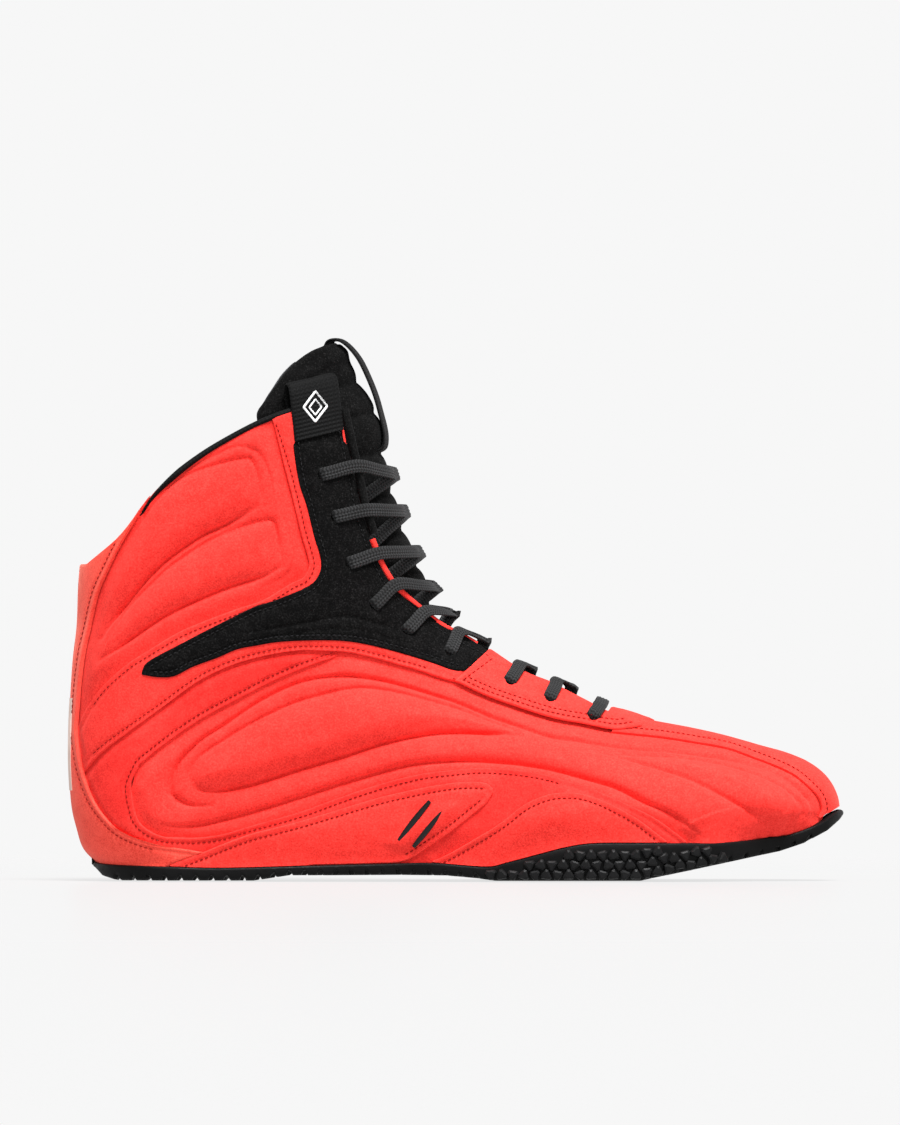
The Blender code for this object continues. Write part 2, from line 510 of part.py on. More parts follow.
ribbon("tongue_strap", strap_points, np.tile((0, 1, 0), (12, 1)), STRAP_WIDTH, WEBBING, webbing)

# Collar binding.
collar_line = shifted(smooth(COLLAR, 24, 1.4), -0.95)
collar_line[0] = (-140.6, 120.3)
lateral_edge, lateral_out = skin(collar_line, -1, -3.75)
medial_edge, medial_out = skin(collar_line, 1, -3.75)
binding_points = np.vstack([lateral_edge[:0:-1], (lateral_edge[:1] + medial_edge[:1]) / 2, medial_edge[1:]])
binding_across = np.vstack([lateral_out[:0:-1], [(-1, 0, 0)], medial_out[1:]])
ribbon("collar_binding", binding_points, binding_across, 4.6, BINDING_HEIGHT, webbing, SQUARE)

# Edge trims and pull tabs.
for side, word in SIDES:
    pipe, out = skin(smooth(PIPING, 10), side, -0.6)
    ribbon(f"eyestay_piping_{word}", pipe, out, 2 * PIPING_RADIUS, 2 * PIPING_RADIUS, webbing)
    strip, out = skin(smooth(FACING, 14), side, -0.6)
    ribbon(f"facing_strip_{word}", strip, out, 1.4, 1.6, red_suede)

    route = [(TAB_OUTER, 0.0), (TAB_OUTER, 6.0), (TAB_OUTER, 12.0), (TAB_OUTER, 17.5)]
    middle = (TAB_OUTER + TAB_INNER) / 2
    reach = (TAB_OUTER - TAB_INNER) / 2
    for turn in (30, 60, 90, 120, 150):
        route.append((middle + reach * math.cos(math.radians(turn)), 17.5 + reach * math.sin(math.radians(turn))))
    route += [(TAB_INNER, 17.5), (TAB_INNER, 12.0), (TAB_INNER, 6.0)]
    route = np.array(route)
    turned = np.gradient(route, axis=0)
    turned /= np.linalg.norm(turned, axis=1)[:, None]
    bulge = np.column_stack([turned[:, 1], -turned[:, 0]])
    faces = []
    for half in (WEBBING / 2, -WEBBING / 2):
        sheet = route + bulge * half
        columns = []
        for share in np.linspace(-0.5, 0.5, 5):
            side_view = np.array(TAB_BASE) + TAB_WIDTH * share * np.array(TAB_ACROSS) + sheet[:, 1:] * TAB_RISE
            columns.append(skin(side_view, side, sheet[:, 0])[0])
        faces.append(np.stack(columns, axis=1))
    shell(f"pull_tab_{word}", faces[0], faces[1], webbing)

one_side("tab_mark", ruled(np.array(((-57.5, 179.0), (-53, 183.6), (-48.5, 180.2))),
                           np.array(((-57.3, 178.5), (-53, 174.5), (-48.7, 179.7))), 4), -1, (1.1, 0.6), print_ink)
one_side("side_mark", ruled(smooth(((-17, 24), (-13, 28), (-9, 32)), 5), smooth(((-12, 23), (-8, 27), (-4, 31)), 5), 5),
         -1, (1.0, 0.4), print_ink)


def sole_outline(x, inset):
    """The sole's lateral and medial edge at one X, this far inside the upper's skin."""
    point = np.array(((x, float(height(FEATHER, x)) + 0.3),))
    found = []
    for side in (-1, 1):
        base, out = skin(point, side, 0.0)
        flat = out[0] * (1, 1, 0)
        found.append(base[0] - flat / max(np.linalg.norm(flat), 1e-9) * inset)
    return found


def slab(name, stations, inset, low, high, columns, paint, collection=None):
    """A slab under the foot, from height low(x) to height high(x)."""
    top = []
    bottom = []
    for x in stations:
        lateral, medial = sole_outline(x, inset)
        row = [lateral + (medial - lateral) * share for share in np.linspace(0, 1, columns)]
        top.append([(point[0], point[1], high(point[0])) for point in row])
        bottom.append([(point[0], point[1], low(point[0])) for point in row])
    made = shell(name, np.array(top), np.array(bottom), paint)
    if collection:
        parts.objects.unlink(made)
        collection.objects.link(made)
    return made


def ground(x):
    return float(height(BOTTOM, x))


# Sole.
flat_stations = [x for x in np.arange(-132, 141, 8.0)]
ends = [-137.2, -136.8, -136, -134.5, -132, 134.5, 138, 141, 143.5, 145.2, 146.3]
edges = []
for middle in TREADS:
    edges += [middle - TREAD_WIDTH / 2 - 0.6, middle - TREAD_WIDTH / 2, middle + TREAD_WIDTH / 2,
              middle + TREAD_WIDTH / 2 + 0.6]
stations = sorted(set([x for x in edges] + [x for x in ends]
                      + [x for x in flat_stations if all(abs(x - edge) > 1.2 for edge in edges + ends)]))
rings = []
for x in stations:
    depth = TREAD_DEPTH if any(abs(x - middle) <= TREAD_WIDTH / 2 + 0.01 for middle in TREADS) else 0.0
    lateral, medial = sole_outline(x, -SOLE_FLANGE * 0.4)
    spread = SOLE_FLANGE * ease(abs(medial[1] - lateral[1]), 0, 40) * 0.6
    rim = float(height(FEATHER, x))
    low = min(ground(x) + depth, rim - 0.7)
    half = (medial[1] - lateral[1]) / 2
    tuck = min(2.0, half * 0.4)
    section = []
    for edge, way in ((lateral, -1), (medial, 1)):
        side_points = [(edge[0], edge[1] + way * spread * 0.4, rim),
                       (edge[0], edge[1] + way * spread, (rim * 0.55 + low * 0.45)),
                       (edge[0], edge[1] - way * tuck * 0.25, min(low + 1.0, rim * 0.6 + low * 0.4)),
                       (edge[0], edge[1] - way * tuck, low)]
        section.append(side_points)
    rings.append(section[0] + section[1][::-1])
ring_size = 8
sole_points = np.array(rings).reshape(-1, 3)
sole_faces = [tuple(range(ring_size)), tuple((len(stations) - 1) * ring_size + j for j in range(ring_size - 1, -1, -1))]
for i in range(len(stations) - 1):
    for j in range(ring_size):
        k = (j + 1) % ring_size
        sole_faces.append((i * ring_size + j, (i + 1) * ring_size + j, (i + 1) * ring_size + k, i * ring_size + k))
outsole = make_object("outsole", sole_points, sole_faces, rubber)
cup_stations = [-134.6, -134, -132, -128, -122] + list(np.arange(-112, 121, 12.0)) + [128, 134, 138, 141, 142.6, 143.4]
cup = slab("sole_cup_cutter", cup_stations, SOLE_WALL, lambda x: ground(x) + SOLE_FLOOR, lambda x: ground(x) + 40, 5,
           None, cutters)
cup.hide_render = True
cup.display_type = "WIRE"
carve = outsole.modifiers.new("cup", "BOOLEAN")
carve.operation = "DIFFERENCE"
carve.solver = "EXACT"
carve.object = cup
board_stations = [-128.6, -127, -122] + list(np.arange(-112, 121, 14.0)) + [126, 131, 134.5]
slab("insole_board", board_stations, 8.4, lambda x: ground(x) + SOLE_FLOOR + 0.5,
     lambda x: ground(x) + SOLE_FLOOR + 2.0, 5, board)
slab("footbed", board_stations, 8.8, lambda x: ground(x) + SOLE_FLOOR + 2.4,
     lambda x: ground(x) + SOLE_FLOOR + 5.2, 5, foam)

# Lace: one flat cord through eighteen eyelets, with both ends tucked under the eyestays.
FRONT_PART = FRONT_LINE[(FRONT_LINE[:, 0] < 75)]


def nearest_on(line, point):
    gap = np.linalg.norm(line - np.asarray(point), axis=1)
    return line[gap.argmin()]


holes = np.array(EYELETS, float)
edge_spots = np.array([nearest_on(THROAT_LINE, hole) for hole in holes])
ridge_spots = np.array([nearest_on(FRONT_PART, hole) for hole in holes])
row_ways = np.gradient(holes, axis=0)
row_ways /= np.linalg.norm(row_ways, axis=1)[:, None]


def placed(spot, side, offset):
    return skin(np.array((spot,)), side, offset)[0][0]


def row_way(row, side):
    ahead = skin(np.array((holes[row] + row_ways[row], holes[row] - row_ways[row])), side, 0.0)[0]
    way = ahead[0] - ahead[1]
    return way / np.linalg.norm(way)


def through_hole(row, side, outward):
    """The lace's centres through one eyelet, with its width directions, leaving outward or inward."""
    toward = edge_spots[row] - holes[row]
    toward = toward / np.linalg.norm(toward)
    way = row_way(row, side)
    steps = [(holes[row] + toward * 2.6, LACE_UNDER), (holes[row] + toward * 0.9, LACE_UNDER + 0.7),
             (holes[row], LACE_UNDER + 2.2), (holes[row], -2.0), (holes[row] + toward * 0.3, -0.2),
             (holes[row] + toward * 1.2, LACE_OVER - 0.1), (holes[row] + toward * 3.2, LACE_OVER)]
    made = [(placed(spot, side, offset), way) for spot, offset in steps]
    return made if outward else made[::-1]


def tongue_height(spot):
    """The tongue's offset under one point of the throat."""
    outside = -line_distance(np.array((spot,)), GUARD_LINE)[0][0]
    return TONGUE_DEEP + (TONGUE_HIGH - TONGUE_DEEP) * float(ease(outside, 1.5, 14))


def over_half(edge, middle, side, way, start, level):
    """From a throat edge up to the centre line, above the tongue."""
    made = []
    for turn in (0.0, 0.3, 0.6, 0.82):
        spot = edge + (middle - edge) * (1 - (1 - turn) ** 2)
        made.append((placed(spot, side, start + (level - start) * turn), way))
    return made


def under_half(middle, edge, side, way, level):
    """From the centre line down to under a throat edge."""
    made = []
    for turn in (0.82, 0.6, 0.3, 0.0):
        spot = edge + (middle - edge) * (1 - (1 - turn) ** 2)
        resting = tongue_height(spot) + 1.8
        made.append((placed(spot, side, resting * (1 - turn**2) + level * turn**2), way))
    return made


def crossing(row, side, next_row, level, start):
    """From one throat edge over the tongue to under the other edge, one row up."""
    lift = 0.22 * (edge_spots[next_row] - edge_spots[row])
    middle = (ridge_spots[row] + ridge_spots[next_row]) / 2
    way_a = row_way(row, side)
    way_b = row_way(next_row, -side)
    made = over_half(edge_spots[row] + lift, middle, side, way_a, start, level)
    made.append((placed(middle, side, level), way_a + way_b))
    return made + under_half(middle, edge_spots[next_row] - lift, -side, way_b, level)


def strand(side, levels):
    """Half of the lace, from the outside of its lowest eyelet up to its tucked end, and that end's aglet."""
    made = through_hole(8, side, False)
    on = side
    for row in range(8, 0, -1):
        made += crossing(row, on, row - 1, levels[(8 - row) % 2], LACE_EDGE if row < 8 else LACE_UNDER)
        on = -on
        made += through_hole(row - 1, on, True)
    middle = ridge_spots[0] + (0.4, 2.0)
    made += over_half(edge_spots[0] + (-0.3, 1.0), middle, on, row_way(0, on), LACE_EDGE, levels[0])
    made.append((placed(middle, on, levels[0]), row_way(0, on) + row_way(0, -on)))
    made += under_half(middle, np.array(LACE_TUCK), -on, row_way(0, -on), levels[0])
    for reach in (4.0, 11.0):
        made.append((placed(LACE_TUCK + np.array((-reach, 0.0)), -on, LACE_UNDER - 0.35), row_way(0, -on)))
    aglet = []
    for reach in (11.5, 15.0, 19.0):
        aglet.append((placed(LACE_TUCK + np.array((-reach, 0.0)), -on, LACE_UNDER - 0.35), row_way(0, -on)))
    return made, aglet


first, first_tip = strand(-1, (0.05, -1.2))
second, second_tip = strand(1, (-1.2, 0.05))
bar = []
for share in (0.3, 0.7, 1.0):
    spot = edge_spots[8] * (1 - share) + ridge_spots[8] * share
    bar.append((placed(spot, -1, LACE_OVER - 0.2 * share), row_way(8, -1)))
bar += [(placed(edge_spots[8] * 0.3 + ridge_spots[8] * 0.7, 1, LACE_OVER - 0.1), row_way(8, 1)),
        (placed(edge_spots[8] * 0.7 + ridge_spots[8] * 0.3, 1, LACE_OVER), row_way(8, 1))]
whole = first[::-1] + bar + second
lace_points = np.array([point for point, way in whole])
lace_ways = np.array([way for point, way in whole])
ribbon("lace", lace_points, lace_ways, LACE_WIDTH, LACE_THICK, lace_cloth, SQUARE)
for tip, word in ((first_tip, "first"), (second_tip, "second")):
    tip_points = np.array([point for point, way in tip])
    tip_ways = np.array([way for point, way in tip])
    ribbon(f"aglet_{word}", tip_points, tip_ways, AGLET_WIDTH, AGLET_THICK, plastic)

# The eyelets, cut through every layer that the lace passes.
drill_points = []
drill_faces = []
for side, word in SIDES:
    for row in range(9):
        start = placed(holes[row], side, -8.6)
        end = placed(holes[row], side, 2.0)
        along = (end - start) / np.linalg.norm(end - start)
        way = row_way(row, side)
        cross = np.cross(along, way)
        first_index = len(drill_points)
        for spot in (start, end):
            for k in range(8):
                angle = math.radians(45 * k + 22.5)
                drill_points.append(spot + (way * math.cos(angle) + cross * math.sin(angle)) * EYELET_RADIUS)
        for k in range(8):
            m = (k + 1) % 8
            drill_faces.append((first_index + k, first_index + m, first_index + 8 + m, first_index + 8 + k))
        drill_faces.append(tuple(first_index + k for k in range(7, -1, -1)))
        drill_faces.append(tuple(first_index + 8 + k for k in range(8)))
drill = make_object("eyelet_cutter", drill_points, drill_faces, None, cutters)
drill.hide_render = True
drill.display_type = "WIRE"
pierced = ["lower_eyestay"]
for side, word in SIDES:
    pierced += [f"ankle_overlay_{word}", f"ankle_band_{word}", f"quarter_lining_{word}"]
for name in pierced:
    cut = bpy.data.objects[name].modifiers.new("eyelets", "BOOLEAN")
    cut.operation = "DIFFERENCE"
    cut.solver = "EXACT"
    cut.object = drill
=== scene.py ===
"""The boxing boot's looks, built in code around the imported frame.

Lengths are in millimetres until a mesh is made. Side-view points are (X, Z).
+X is the toe, -Y the lateral side that the camera sees, and +Z up."""

import math

import bpy
import numpy as np
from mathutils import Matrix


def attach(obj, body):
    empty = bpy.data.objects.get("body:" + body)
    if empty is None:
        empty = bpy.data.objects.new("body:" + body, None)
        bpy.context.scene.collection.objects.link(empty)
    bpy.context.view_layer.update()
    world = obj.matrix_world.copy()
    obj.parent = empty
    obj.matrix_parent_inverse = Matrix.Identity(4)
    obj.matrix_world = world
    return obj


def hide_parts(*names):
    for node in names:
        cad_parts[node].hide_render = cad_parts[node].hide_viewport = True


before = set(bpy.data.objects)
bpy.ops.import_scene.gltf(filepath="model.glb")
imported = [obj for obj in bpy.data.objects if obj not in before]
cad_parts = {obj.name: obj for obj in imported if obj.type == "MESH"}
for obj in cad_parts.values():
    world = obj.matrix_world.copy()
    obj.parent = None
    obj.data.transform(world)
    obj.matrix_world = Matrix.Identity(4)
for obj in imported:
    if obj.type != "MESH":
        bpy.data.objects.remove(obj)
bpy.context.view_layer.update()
rng = np.random.default_rng(7)

MM = 0.001
SIDES = ((-1, "lateral"), (1, "medial"))

# The skin that every panel is laid on: its half widths from above, and how its front edge is rounded, by X.
PLAN_X = (-150, -110, -80, -40, 0, 40, 70, 100, 130, 150)
PLAN_LATERAL = (34, 34, 35, 36, 42, 49, 49, 44, 35, 30)
PLAN_MEDIAL = (33, 33, 34, 33, 37, 46, 49, 44, 35, 30)
SHAFT_HALF_WIDTH = 35.0
HEEL_ROUNDING = 34.0
FRONT_X = (-60, -20, 0, 30, 60, 90, 120, 140, 150)
FRONT_ROUNDING = (44, 48, 58, 58, 50, 41, 31, 23, 20)
TOE_SHIFT = 7.5
CENTRE_Y = 1.73

HEEL_BACK = (
    (-136, 6.5), (-141, 12), (-143.5, 19.5), (-145.5, 28.5), (-146.5, 43.5), (-146.5, 55), (-146, 68), (-145, 83.5),
    (-143.5, 96.5), (-143, 110), (-142.5, 117.5), (-140, 120.5))
COLLAR = (
    (-140, 120.5), (-128, 130.5), (-121, 139), (-115, 147), (-106, 155), (-95, 163), (-83, 170), (-73, 175),
    (-62.5, 179), (-52, 181.5), (-43.5, 181.5))
FRONT = (
    (-46, 211), (-44.5, 206.5), (-39.5, 201), (-35, 193.5), (-31.5, 186), (-28.5, 178.5), (-26, 171), (-24, 163),
    (-22, 153.5), (-19.5, 145), (-17, 136), (-13.5, 127), (-10, 119), (-6.5, 111), (-2.5, 104), (3, 97), (9.5, 92),
    (16.5, 87), (25.5, 82), (35, 77.5), (44, 74), (53, 69.5), (58, 66.5), (66.5, 63), (76, 61), (89.5, 58.5),
    (103, 55.5), (117, 51.5), (126, 49), (133.5, 46), (137, 43.9), (140.3, 41.3), (143, 38.3), (145, 35),
    (146.4, 31.4), (147, 28), (147, 25), (145.5, 20.5), (141, 15.5), (132, 10.5), (122, 7.5))
FEATHER = (
    (-140, 8.2), (-138, 8), (-133.5, 6), (-109, 5), (-87, 4.5), (-51, 5.5), (-31.5, 6), (-9.5, 6.5), (4, 5.5),
    (13.5, 5), (19.5, 6.5), (25.5, 8), (33, 10), (40.5, 12), (48.5, 13.5), (56, 14), (70.5, 14), (88, 14),
    (99.5, 14), (111, 15), (118.5, 16), (126.5, 17), (134, 19.5), (139.5, 22), (144, 25), (147, 26.4))
BOTTOM = (
    (-138, 6), (-135.5, 4.5), (-133, 1.5), (-128, 0), (-123.5, 0), (-76, 0), (-62.5, 2), (-47.5, 2), (-20.5, 2.2),
    (-3.5, 2), (8, 1), (15.5, 0), (70.5, 0), (75, 1.0), (85, 3), (94.5, 5), (104.5, 7), (114, 9), (123.5, 11),
    (132.5, 14), (141, 18.5), (145.5, 22.5), (147, 25))
TREADS = tuple(np.concatenate([np.arange(-127.5, 10, 5.9), np.arange(73.5, 139, 6.1)]))

# Panel borders.
ANKLE_SEAM = (
    (-145, 56), (-143, 60), (-140, 65.5), (-134.5, 73), (-125, 81.5), (-115.5, 87.5), (-102.5, 95), (-83.5, 102.5),
    (-73, 106), (-62, 112.5), (-57, 115), (-55, 119), (-55.5, 123), (-58, 131.5), (-60.5, 142), (-64, 155.5),
    (-67.5, 167), (-70.5, 175.5))
BAND_SEAM = (
    (-145, 38), (-141.5, 41), (-134.5, 48.5), (-125, 55.5), (-111.5, 65), (-98.5, 74.5), (-87, 80.5), (-74.5, 84.5),
    (-60, 87), (-47.5, 87), (-39.5, 86.5), (-30, 84.5), (-22.5, 82.5), (-13, 80), (-5.5, 77.5), (0, 76))
THROAT_UPPER = (
    (-43.5, 181), (-42.5, 179), (-40, 167), (-37.5, 155.5), (-35, 143), (-31.5, 131), (-28, 120.5), (-23.5, 113),
    (-18, 107), (-11.5, 101.5), (-5, 96.5), (3, 92.5), (9.5, 89))
QUILT_LEFT_TOP = (
    (-119.5, 44), (-112.5, 49.5), (-104.5, 55.5), (-94.5, 62), (-81.5, 69), (-70, 75), (-58.5, 80), (-47.5, 84),
    (-41.5, 85.5), (-30, 83.7), (-22.5, 81.6), (-13, 79), (-5.5, 76.5), (0, 75))
STRIPE_SEAM = (
    (0, 75), (10.5, 71), (20.5, 67.5), (36, 62.5), (49, 60), (60, 57.5), (70.5, 56.5), (80, 55.5), (89.5, 54),
    (103.5, 51.5), (113.5, 48), (122.5, 44.5), (129.5, 41), (135, 36.5), (139, 32), (140.5, 27), (139.5, 23.5))
QUILT_LOW = (
    (-122.5, 30), (-120.5, 23), (-116.5, 19), (-111, 16.5), (-104.5, 16), (-96.5, 16), (-87, 17.5), (-76, 21),
    (-58.5, 26), (-43.5, 31.5), (-28.5, 36.5), (-13, 40.5), (-1.5, 42), (9.5, 43), (21, 42.5), (32.5, 41),
    (42, 38.5), (51.5, 35.5), (63, 30.5), (74.5, 24.5), (82.5, 19), (88, 14.8))
HEEL_SEAM = (
    (-121.5, 136.5), (-128, 125.5), (-131.5, 118.5), (-135, 111), (-137, 104.5), (-139, 95.5), (-141, 87),
    (-142.5, 76.5), (-143.5, 65), (-144, 57), (-143, 48.5), (-141.5, 41), (-138, 31.5), (-133, 24), (-126.5, 18),
    (-116.5, 14), (-106, 12.5), (-95.5, 11))
OVERLAY_REAR = (
    (-118.5, 79), (-116, 83), (-104, 89.5), (-94.5, 94.5), (-82.5, 100.5), (-75, 104), (-68.5, 106), (-58.5, 110),
    (-54, 112.5), (-51.5, 115.5), (-50.5, 119), (-51, 123.5), (-53, 130), (-56, 142), (-58.5, 149.5), (-60, 157),
    (-61, 164.5), (-61.6, 170))
OVERLAY_LOW = (
    (-118.5, 78), (-112, 77), (-106, 77.5), (-99, 81), (-89.5, 84.5), (-82.5, 87.5), (-75, 89), (-65, 90.5),
    (-47.5, 91), (-36, 90), (-23, 87), (-9.5, 83), (-1.5, 80.2), (3, 79.6), (8, 81), (13.6, 85.8))
OVERLAY_FRONT = (
    (14, 86.6), (9.5, 88.6), (2.5, 92.2), (-5.5, 97), (-12.5, 101.5), (-19, 107), (-24, 112.3), (-28.5, 120),
    (-33, 131.5), (-36.5, 144), (-39, 157), (-41, 167), (-42.2, 172.5))
EYESTAY_THROAT = (
    (13.4, 87.9), (15.5, 86.6), (22, 82.2), (28, 78.7), (36.5, 75.4), (43, 72), (52, 67.4), (58.5, 64))
EYESTAY_LOW = (
    (0.2, 75.9), (10.5, 71), (20.5, 67.3), (36, 62.3), (49, 59.8), (60, 57.7), (66.5, 58.2), (71, 59), (76, 61))
ARCH_TOP = (
    (-108, 5.8), (-103.5, 7.5), (-95.5, 10.5), (-87, 14), (-77.5, 17.5), (-68, 20), (-58.5, 22.5), (-43.5, 27),
    (-28.5, 31.5), (-13, 35), (-1.5, 37), (6.5, 37.5), (12, 37), (14.5, 35))
ARCH_LOW = (
    (-107, 5.4), (-87, 5.0), (-51, 6.0), (-31.5, 6.5), (-19, 7.4), (-9.5, 13), (-1.5, 18.5), (6, 24.5), (12, 29.5),
    (14.5, 33.5))
FOREFOOT_TOP = (
    (-8.5, 7.4), (-1.5, 10.5), (8, 16), (17.5, 22), (25, 28), (30.5, 31), (36.5, 33), (42.5, 33.5), (48.5, 33),
    (56, 30.5), (64, 26.5), (70.5, 22.5), (76.5, 18), (80.5, 15))
FOREFOOT_LOW = (
    (-7.5, 7.0), (4, 6.0), (13.5, 5.6), (19.5, 7.0), (25.5, 8.6), (33, 10.6), (40.5, 12.6), (48.5, 14.1), (56, 14.6),
    (70.5, 14.6), (79.5, 14.6))
TONGUE_FRONT = (
    (-44.5, 206), (-39.5, 200.5), (-35, 193), (-31.5, 185.5), (-28.5, 178), (-26, 170.5), (-24, 163), (-22, 153.5),
    (-19.5, 145), (-17, 136), (-13.5, 127), (-10, 119), (-6.5, 111), (-2.5, 104), (3, 97), (9.5, 92), (16.5, 87),
    (25.5, 82), (35, 77.5), (44, 74), (53, 69.5), (63, 64.4))
TONGUE_REAR = (
    (-47, 204.5), (-52, 202), (-61, 194.5), (-70, 183.5), (-74.5, 176.5), (-72, 167), (-62, 152), (-51, 136.5),
    (-41, 121.5), (-30, 108), (-17, 98), (-1.5, 86), (17.5, 76), (40, 65.5), (56, 57.5))
STRAP_SIDE = (
    (-49.0, 201.6), (-47.4, 204.5), (-43.8, 205.0), (-40.2, 202.8), (-36.2, 198), (-32.9, 191.5), (-29.9, 184),
    (-27.8, 176.6), (-26.5, 171.4), (-26.1, 167.4), (-26.7, 164.2), (-29.4, 162.4))
EYELETS = (
    (-49.5, 154), (-44.5, 138), (-39, 120.5), (-30, 105), (-17.5, 95.5), (-1.5, 87.5), (21.5, 76.4), (36.5, 70),
    (53, 63.2))
PIPING = ((-41.6, 178.5), (-39, 167), (-36.4, 155.5), (-33.9, 143), (-30.4, 131.5))
FACING = (
    (-30.8, 129.5), (-27.4, 120.5), (-22.9, 113), (-17.4, 107.4), (-10.9, 102), (-4.4, 97), (3.4, 93), (8.6, 90))
TOE_TIP = FRONT[29:36]

# Moulded lines of the padding, on one side of the boot.
QUILT_GROOVE = (
    (-92, 28.4), (-97.5, 28.2), (-102.5, 29.2), (-106, 31.5), (-107.5, 34), (-106.5, 39.5), (-104.5, 44.5),
    (-100.5, 49), (-95, 54), (-87, 59), (-77.5, 65.5), (-68, 71), (-58.5, 75), (-49, 77), (-39.5, 77.5), (-30, 76.5),
    (-20.5, 74.5), (-9.5, 71.5), (2, 68), (13.5, 63.5), (25, 59.5), (36.5, 55.5), (47.5, 54), (59, 52.5),
    (70.5, 51.5), (85.5, 50.5), (97, 49), (108.5, 47), (118, 44.5), (125.5, 41), (131.5, 36.5), (135, 31.5),
    (136.5, 26.5), (136, 22))
SIDE_PAD_TOP = (
    (-94.5, 33.9), (-98.4, 35.6), (-100.3, 39.5), (-98.6, 44.3), (-95, 48), (-89, 52), (-79.5, 58), (-68, 64),
    (-58.5, 68), (-47.5, 71), (-36, 73), (-24.5, 72), (-13, 69.5), (2, 65.5), (17.5, 60), (25.5, 56))
SIDE_CREASE = (
    (-96.5, 34.4), (-92.4, 33.6), (-85, 34.4), (-74, 37), (-58.5, 42), (-43.5, 46.5), (-28.5, 51.5), (-17, 54.5),
    (-5.5, 56.5), (6, 57), (17.5, 56.5), (25.5, 55.5))
LOWER_GROOVE = (
    (-110, 21), (-104.5, 20.5), (-96.5, 21), (-85.5, 23.5), (-73, 27), (-58.5, 31.5), (-43.5, 36.5), (-28.5, 41),
    (-17, 44), (-5.5, 45.5), (6, 46), (17.5, 45.5), (28.5, 44.5), (40, 42.5), (51.5, 39.5), (61, 36.5), (70.5, 31.5),
    (80, 26.5), (87.5, 21.5), (94.5, 16))
TOE_PAD_TOP = (
    (56, 49), (70.5, 48.5), (85.5, 47.5), (101, 45), (112.5, 41.5), (122, 37.5), (128, 33), (132, 27), (131.5, 20.5))
TOE_PAD_LOW = ((56, 49), (66.5, 46.5), (78, 43), (89.5, 39), (101, 33), (110.5, 27), (118, 20.5))
ANKLE_CREASE = (
    (-134.5, 92), (-131, 97.5), (-123.5, 107), (-115.5, 115.5), (-108, 122), (-96.5, 130), (-87, 134.5),
    (-77.5, 140), (-74.5, 142))
ANKLE_PAD_EDGE = (
    (-73, 145.5), (-74.5, 152), (-76.5, 158.5), (-79, 160), (-87, 158.5), (-96.5, 155.5), (-104.5, 152),
    (-112, 145.5), (-119.5, 136.5), (-127, 125.5), (-133, 114), (-136, 104.5), (-138.5, 93))
ANKLE_OUTER = (
    (-73.5, 139.3), (-69.9, 143.1), (-69.2, 149.5), (-71, 156), (-74.3, 162), (-81.5, 164.5), (-89, 161.8),
    (-96.5, 158.5), (-104.5, 153.5), (-111, 149), (-116.5, 143.5), (-121.5, 136.5))
ANKLE_LOW_CREASE = (
    (-134.5, 84), (-129, 87.5), (-119.5, 94), (-108, 101), (-96.5, 106.5), (-85.5, 111), (-76, 114), (-69.5, 116.5),
    (-66.5, 118.5))
ANKLE_LOW_EDGE = (
    (-66.5, 118.5), (-65.5, 120.5), (-66.5, 127), (-68, 134.5), (-70, 136.5), (-77.5, 135), (-87, 131.5),
    (-96.5, 126.5), (-108, 118.5), (-115.5, 112), (-123.5, 104.5), (-130, 95))
ANKLE_LOW_OUTER = ((-64.8, 137), (-62, 128), (-61, 120.4), (-64, 115.5), (-72, 111.5))
OVERLAY_FOLD = ((-81.5, 93.3), (-54.5, 97.9), (-41.2, 99.9), (-27.7, 96.7), (-13.5, 92.3))
OVERLAY_FOLD_LOW = ((-70, 92.5), (-54, 94.5), (-38, 95), (-24, 91.5), (-12, 88))
ARCH_PAD = (
    (-28.5, 14), (-22, 19), (-14, 25.5), (-9, 29.5), (0, 31), (3, 29.5), (1, 25), (-6, 19.5), (-14, 13.5),
    (-20, 10.5))

FIELD_STEP = 0.5
FIELD_X = np.arange(-160, 160.01, FIELD_STEP)
FIELD_Z = np.arange(-10, 220.01, FIELD_STEP)


def unit(vectors):
    """The vectors at length 1, along the last axis."""
    return vectors / np.maximum(np.linalg.norm(vectors, axis=-1), 1e-9)[..., None]


def lengths(curve):
    """The length of the polyline up to each of its points."""
    return np.concatenate([[0], np.cumsum(np.linalg.norm(np.diff(curve, axis=0), axis=1))])


def at(places, along, curve):
    """The curve's points at these places, given each of its own points' place."""
    return np.column_stack([np.interp(places, along, column) for column in curve.T])


def catmull(knots, steps):
    """A Catmull-Rom curve through the knots, with this many points for each stretch."""
    padded = np.vstack([2 * knots[0] - knots[1], knots, 2 * knots[-1] - knots[-2]])
    fine = []
    for i in range(len(knots) - 1):
        a, b, c, d = padded[i:i + 4]
        for t in np.linspace(0, 1, steps, endpoint=False):
            fine.append(0.5 * (2 * b + (c - a) * t + (2 * a - 5 * b + 4 * c - d) * t**2
                               + (3 * b - a - 3 * c + d) * t**3))
    return np.array(fine + [knots[-1]])


def smooth(points, count, power=1.0):
    """A smooth curve through the points, as count points. A power over 1 crowds them at the start."""
    fine = catmull(np.array(points, float), 12)
    along = lengths(fine)
    return at(np.linspace(0, 1, count) ** power * along[-1], along, fine)


def part_of(points, start, end, count, power=1.0):
    """The stretch of a smooth curve between two fractions of its length."""
    fine = smooth(points, 600)
    return at((start + (end - start) * np.linspace(0, 1, count) ** power) * 599, np.arange(600), fine)


def joined(*curves):
    rows = [curves[0]]
    for curve in curves[1:]:
        rows.append(curve[1:])
    return np.vstack(rows)


def shifted(curve, distance):
    """The curve moved sideways, to the left of its direction for a positive distance."""
    run = unit(np.gradient(curve, axis=0))
    return curve + distance * np.column_stack([-run[:, 1], run[:, 0]])


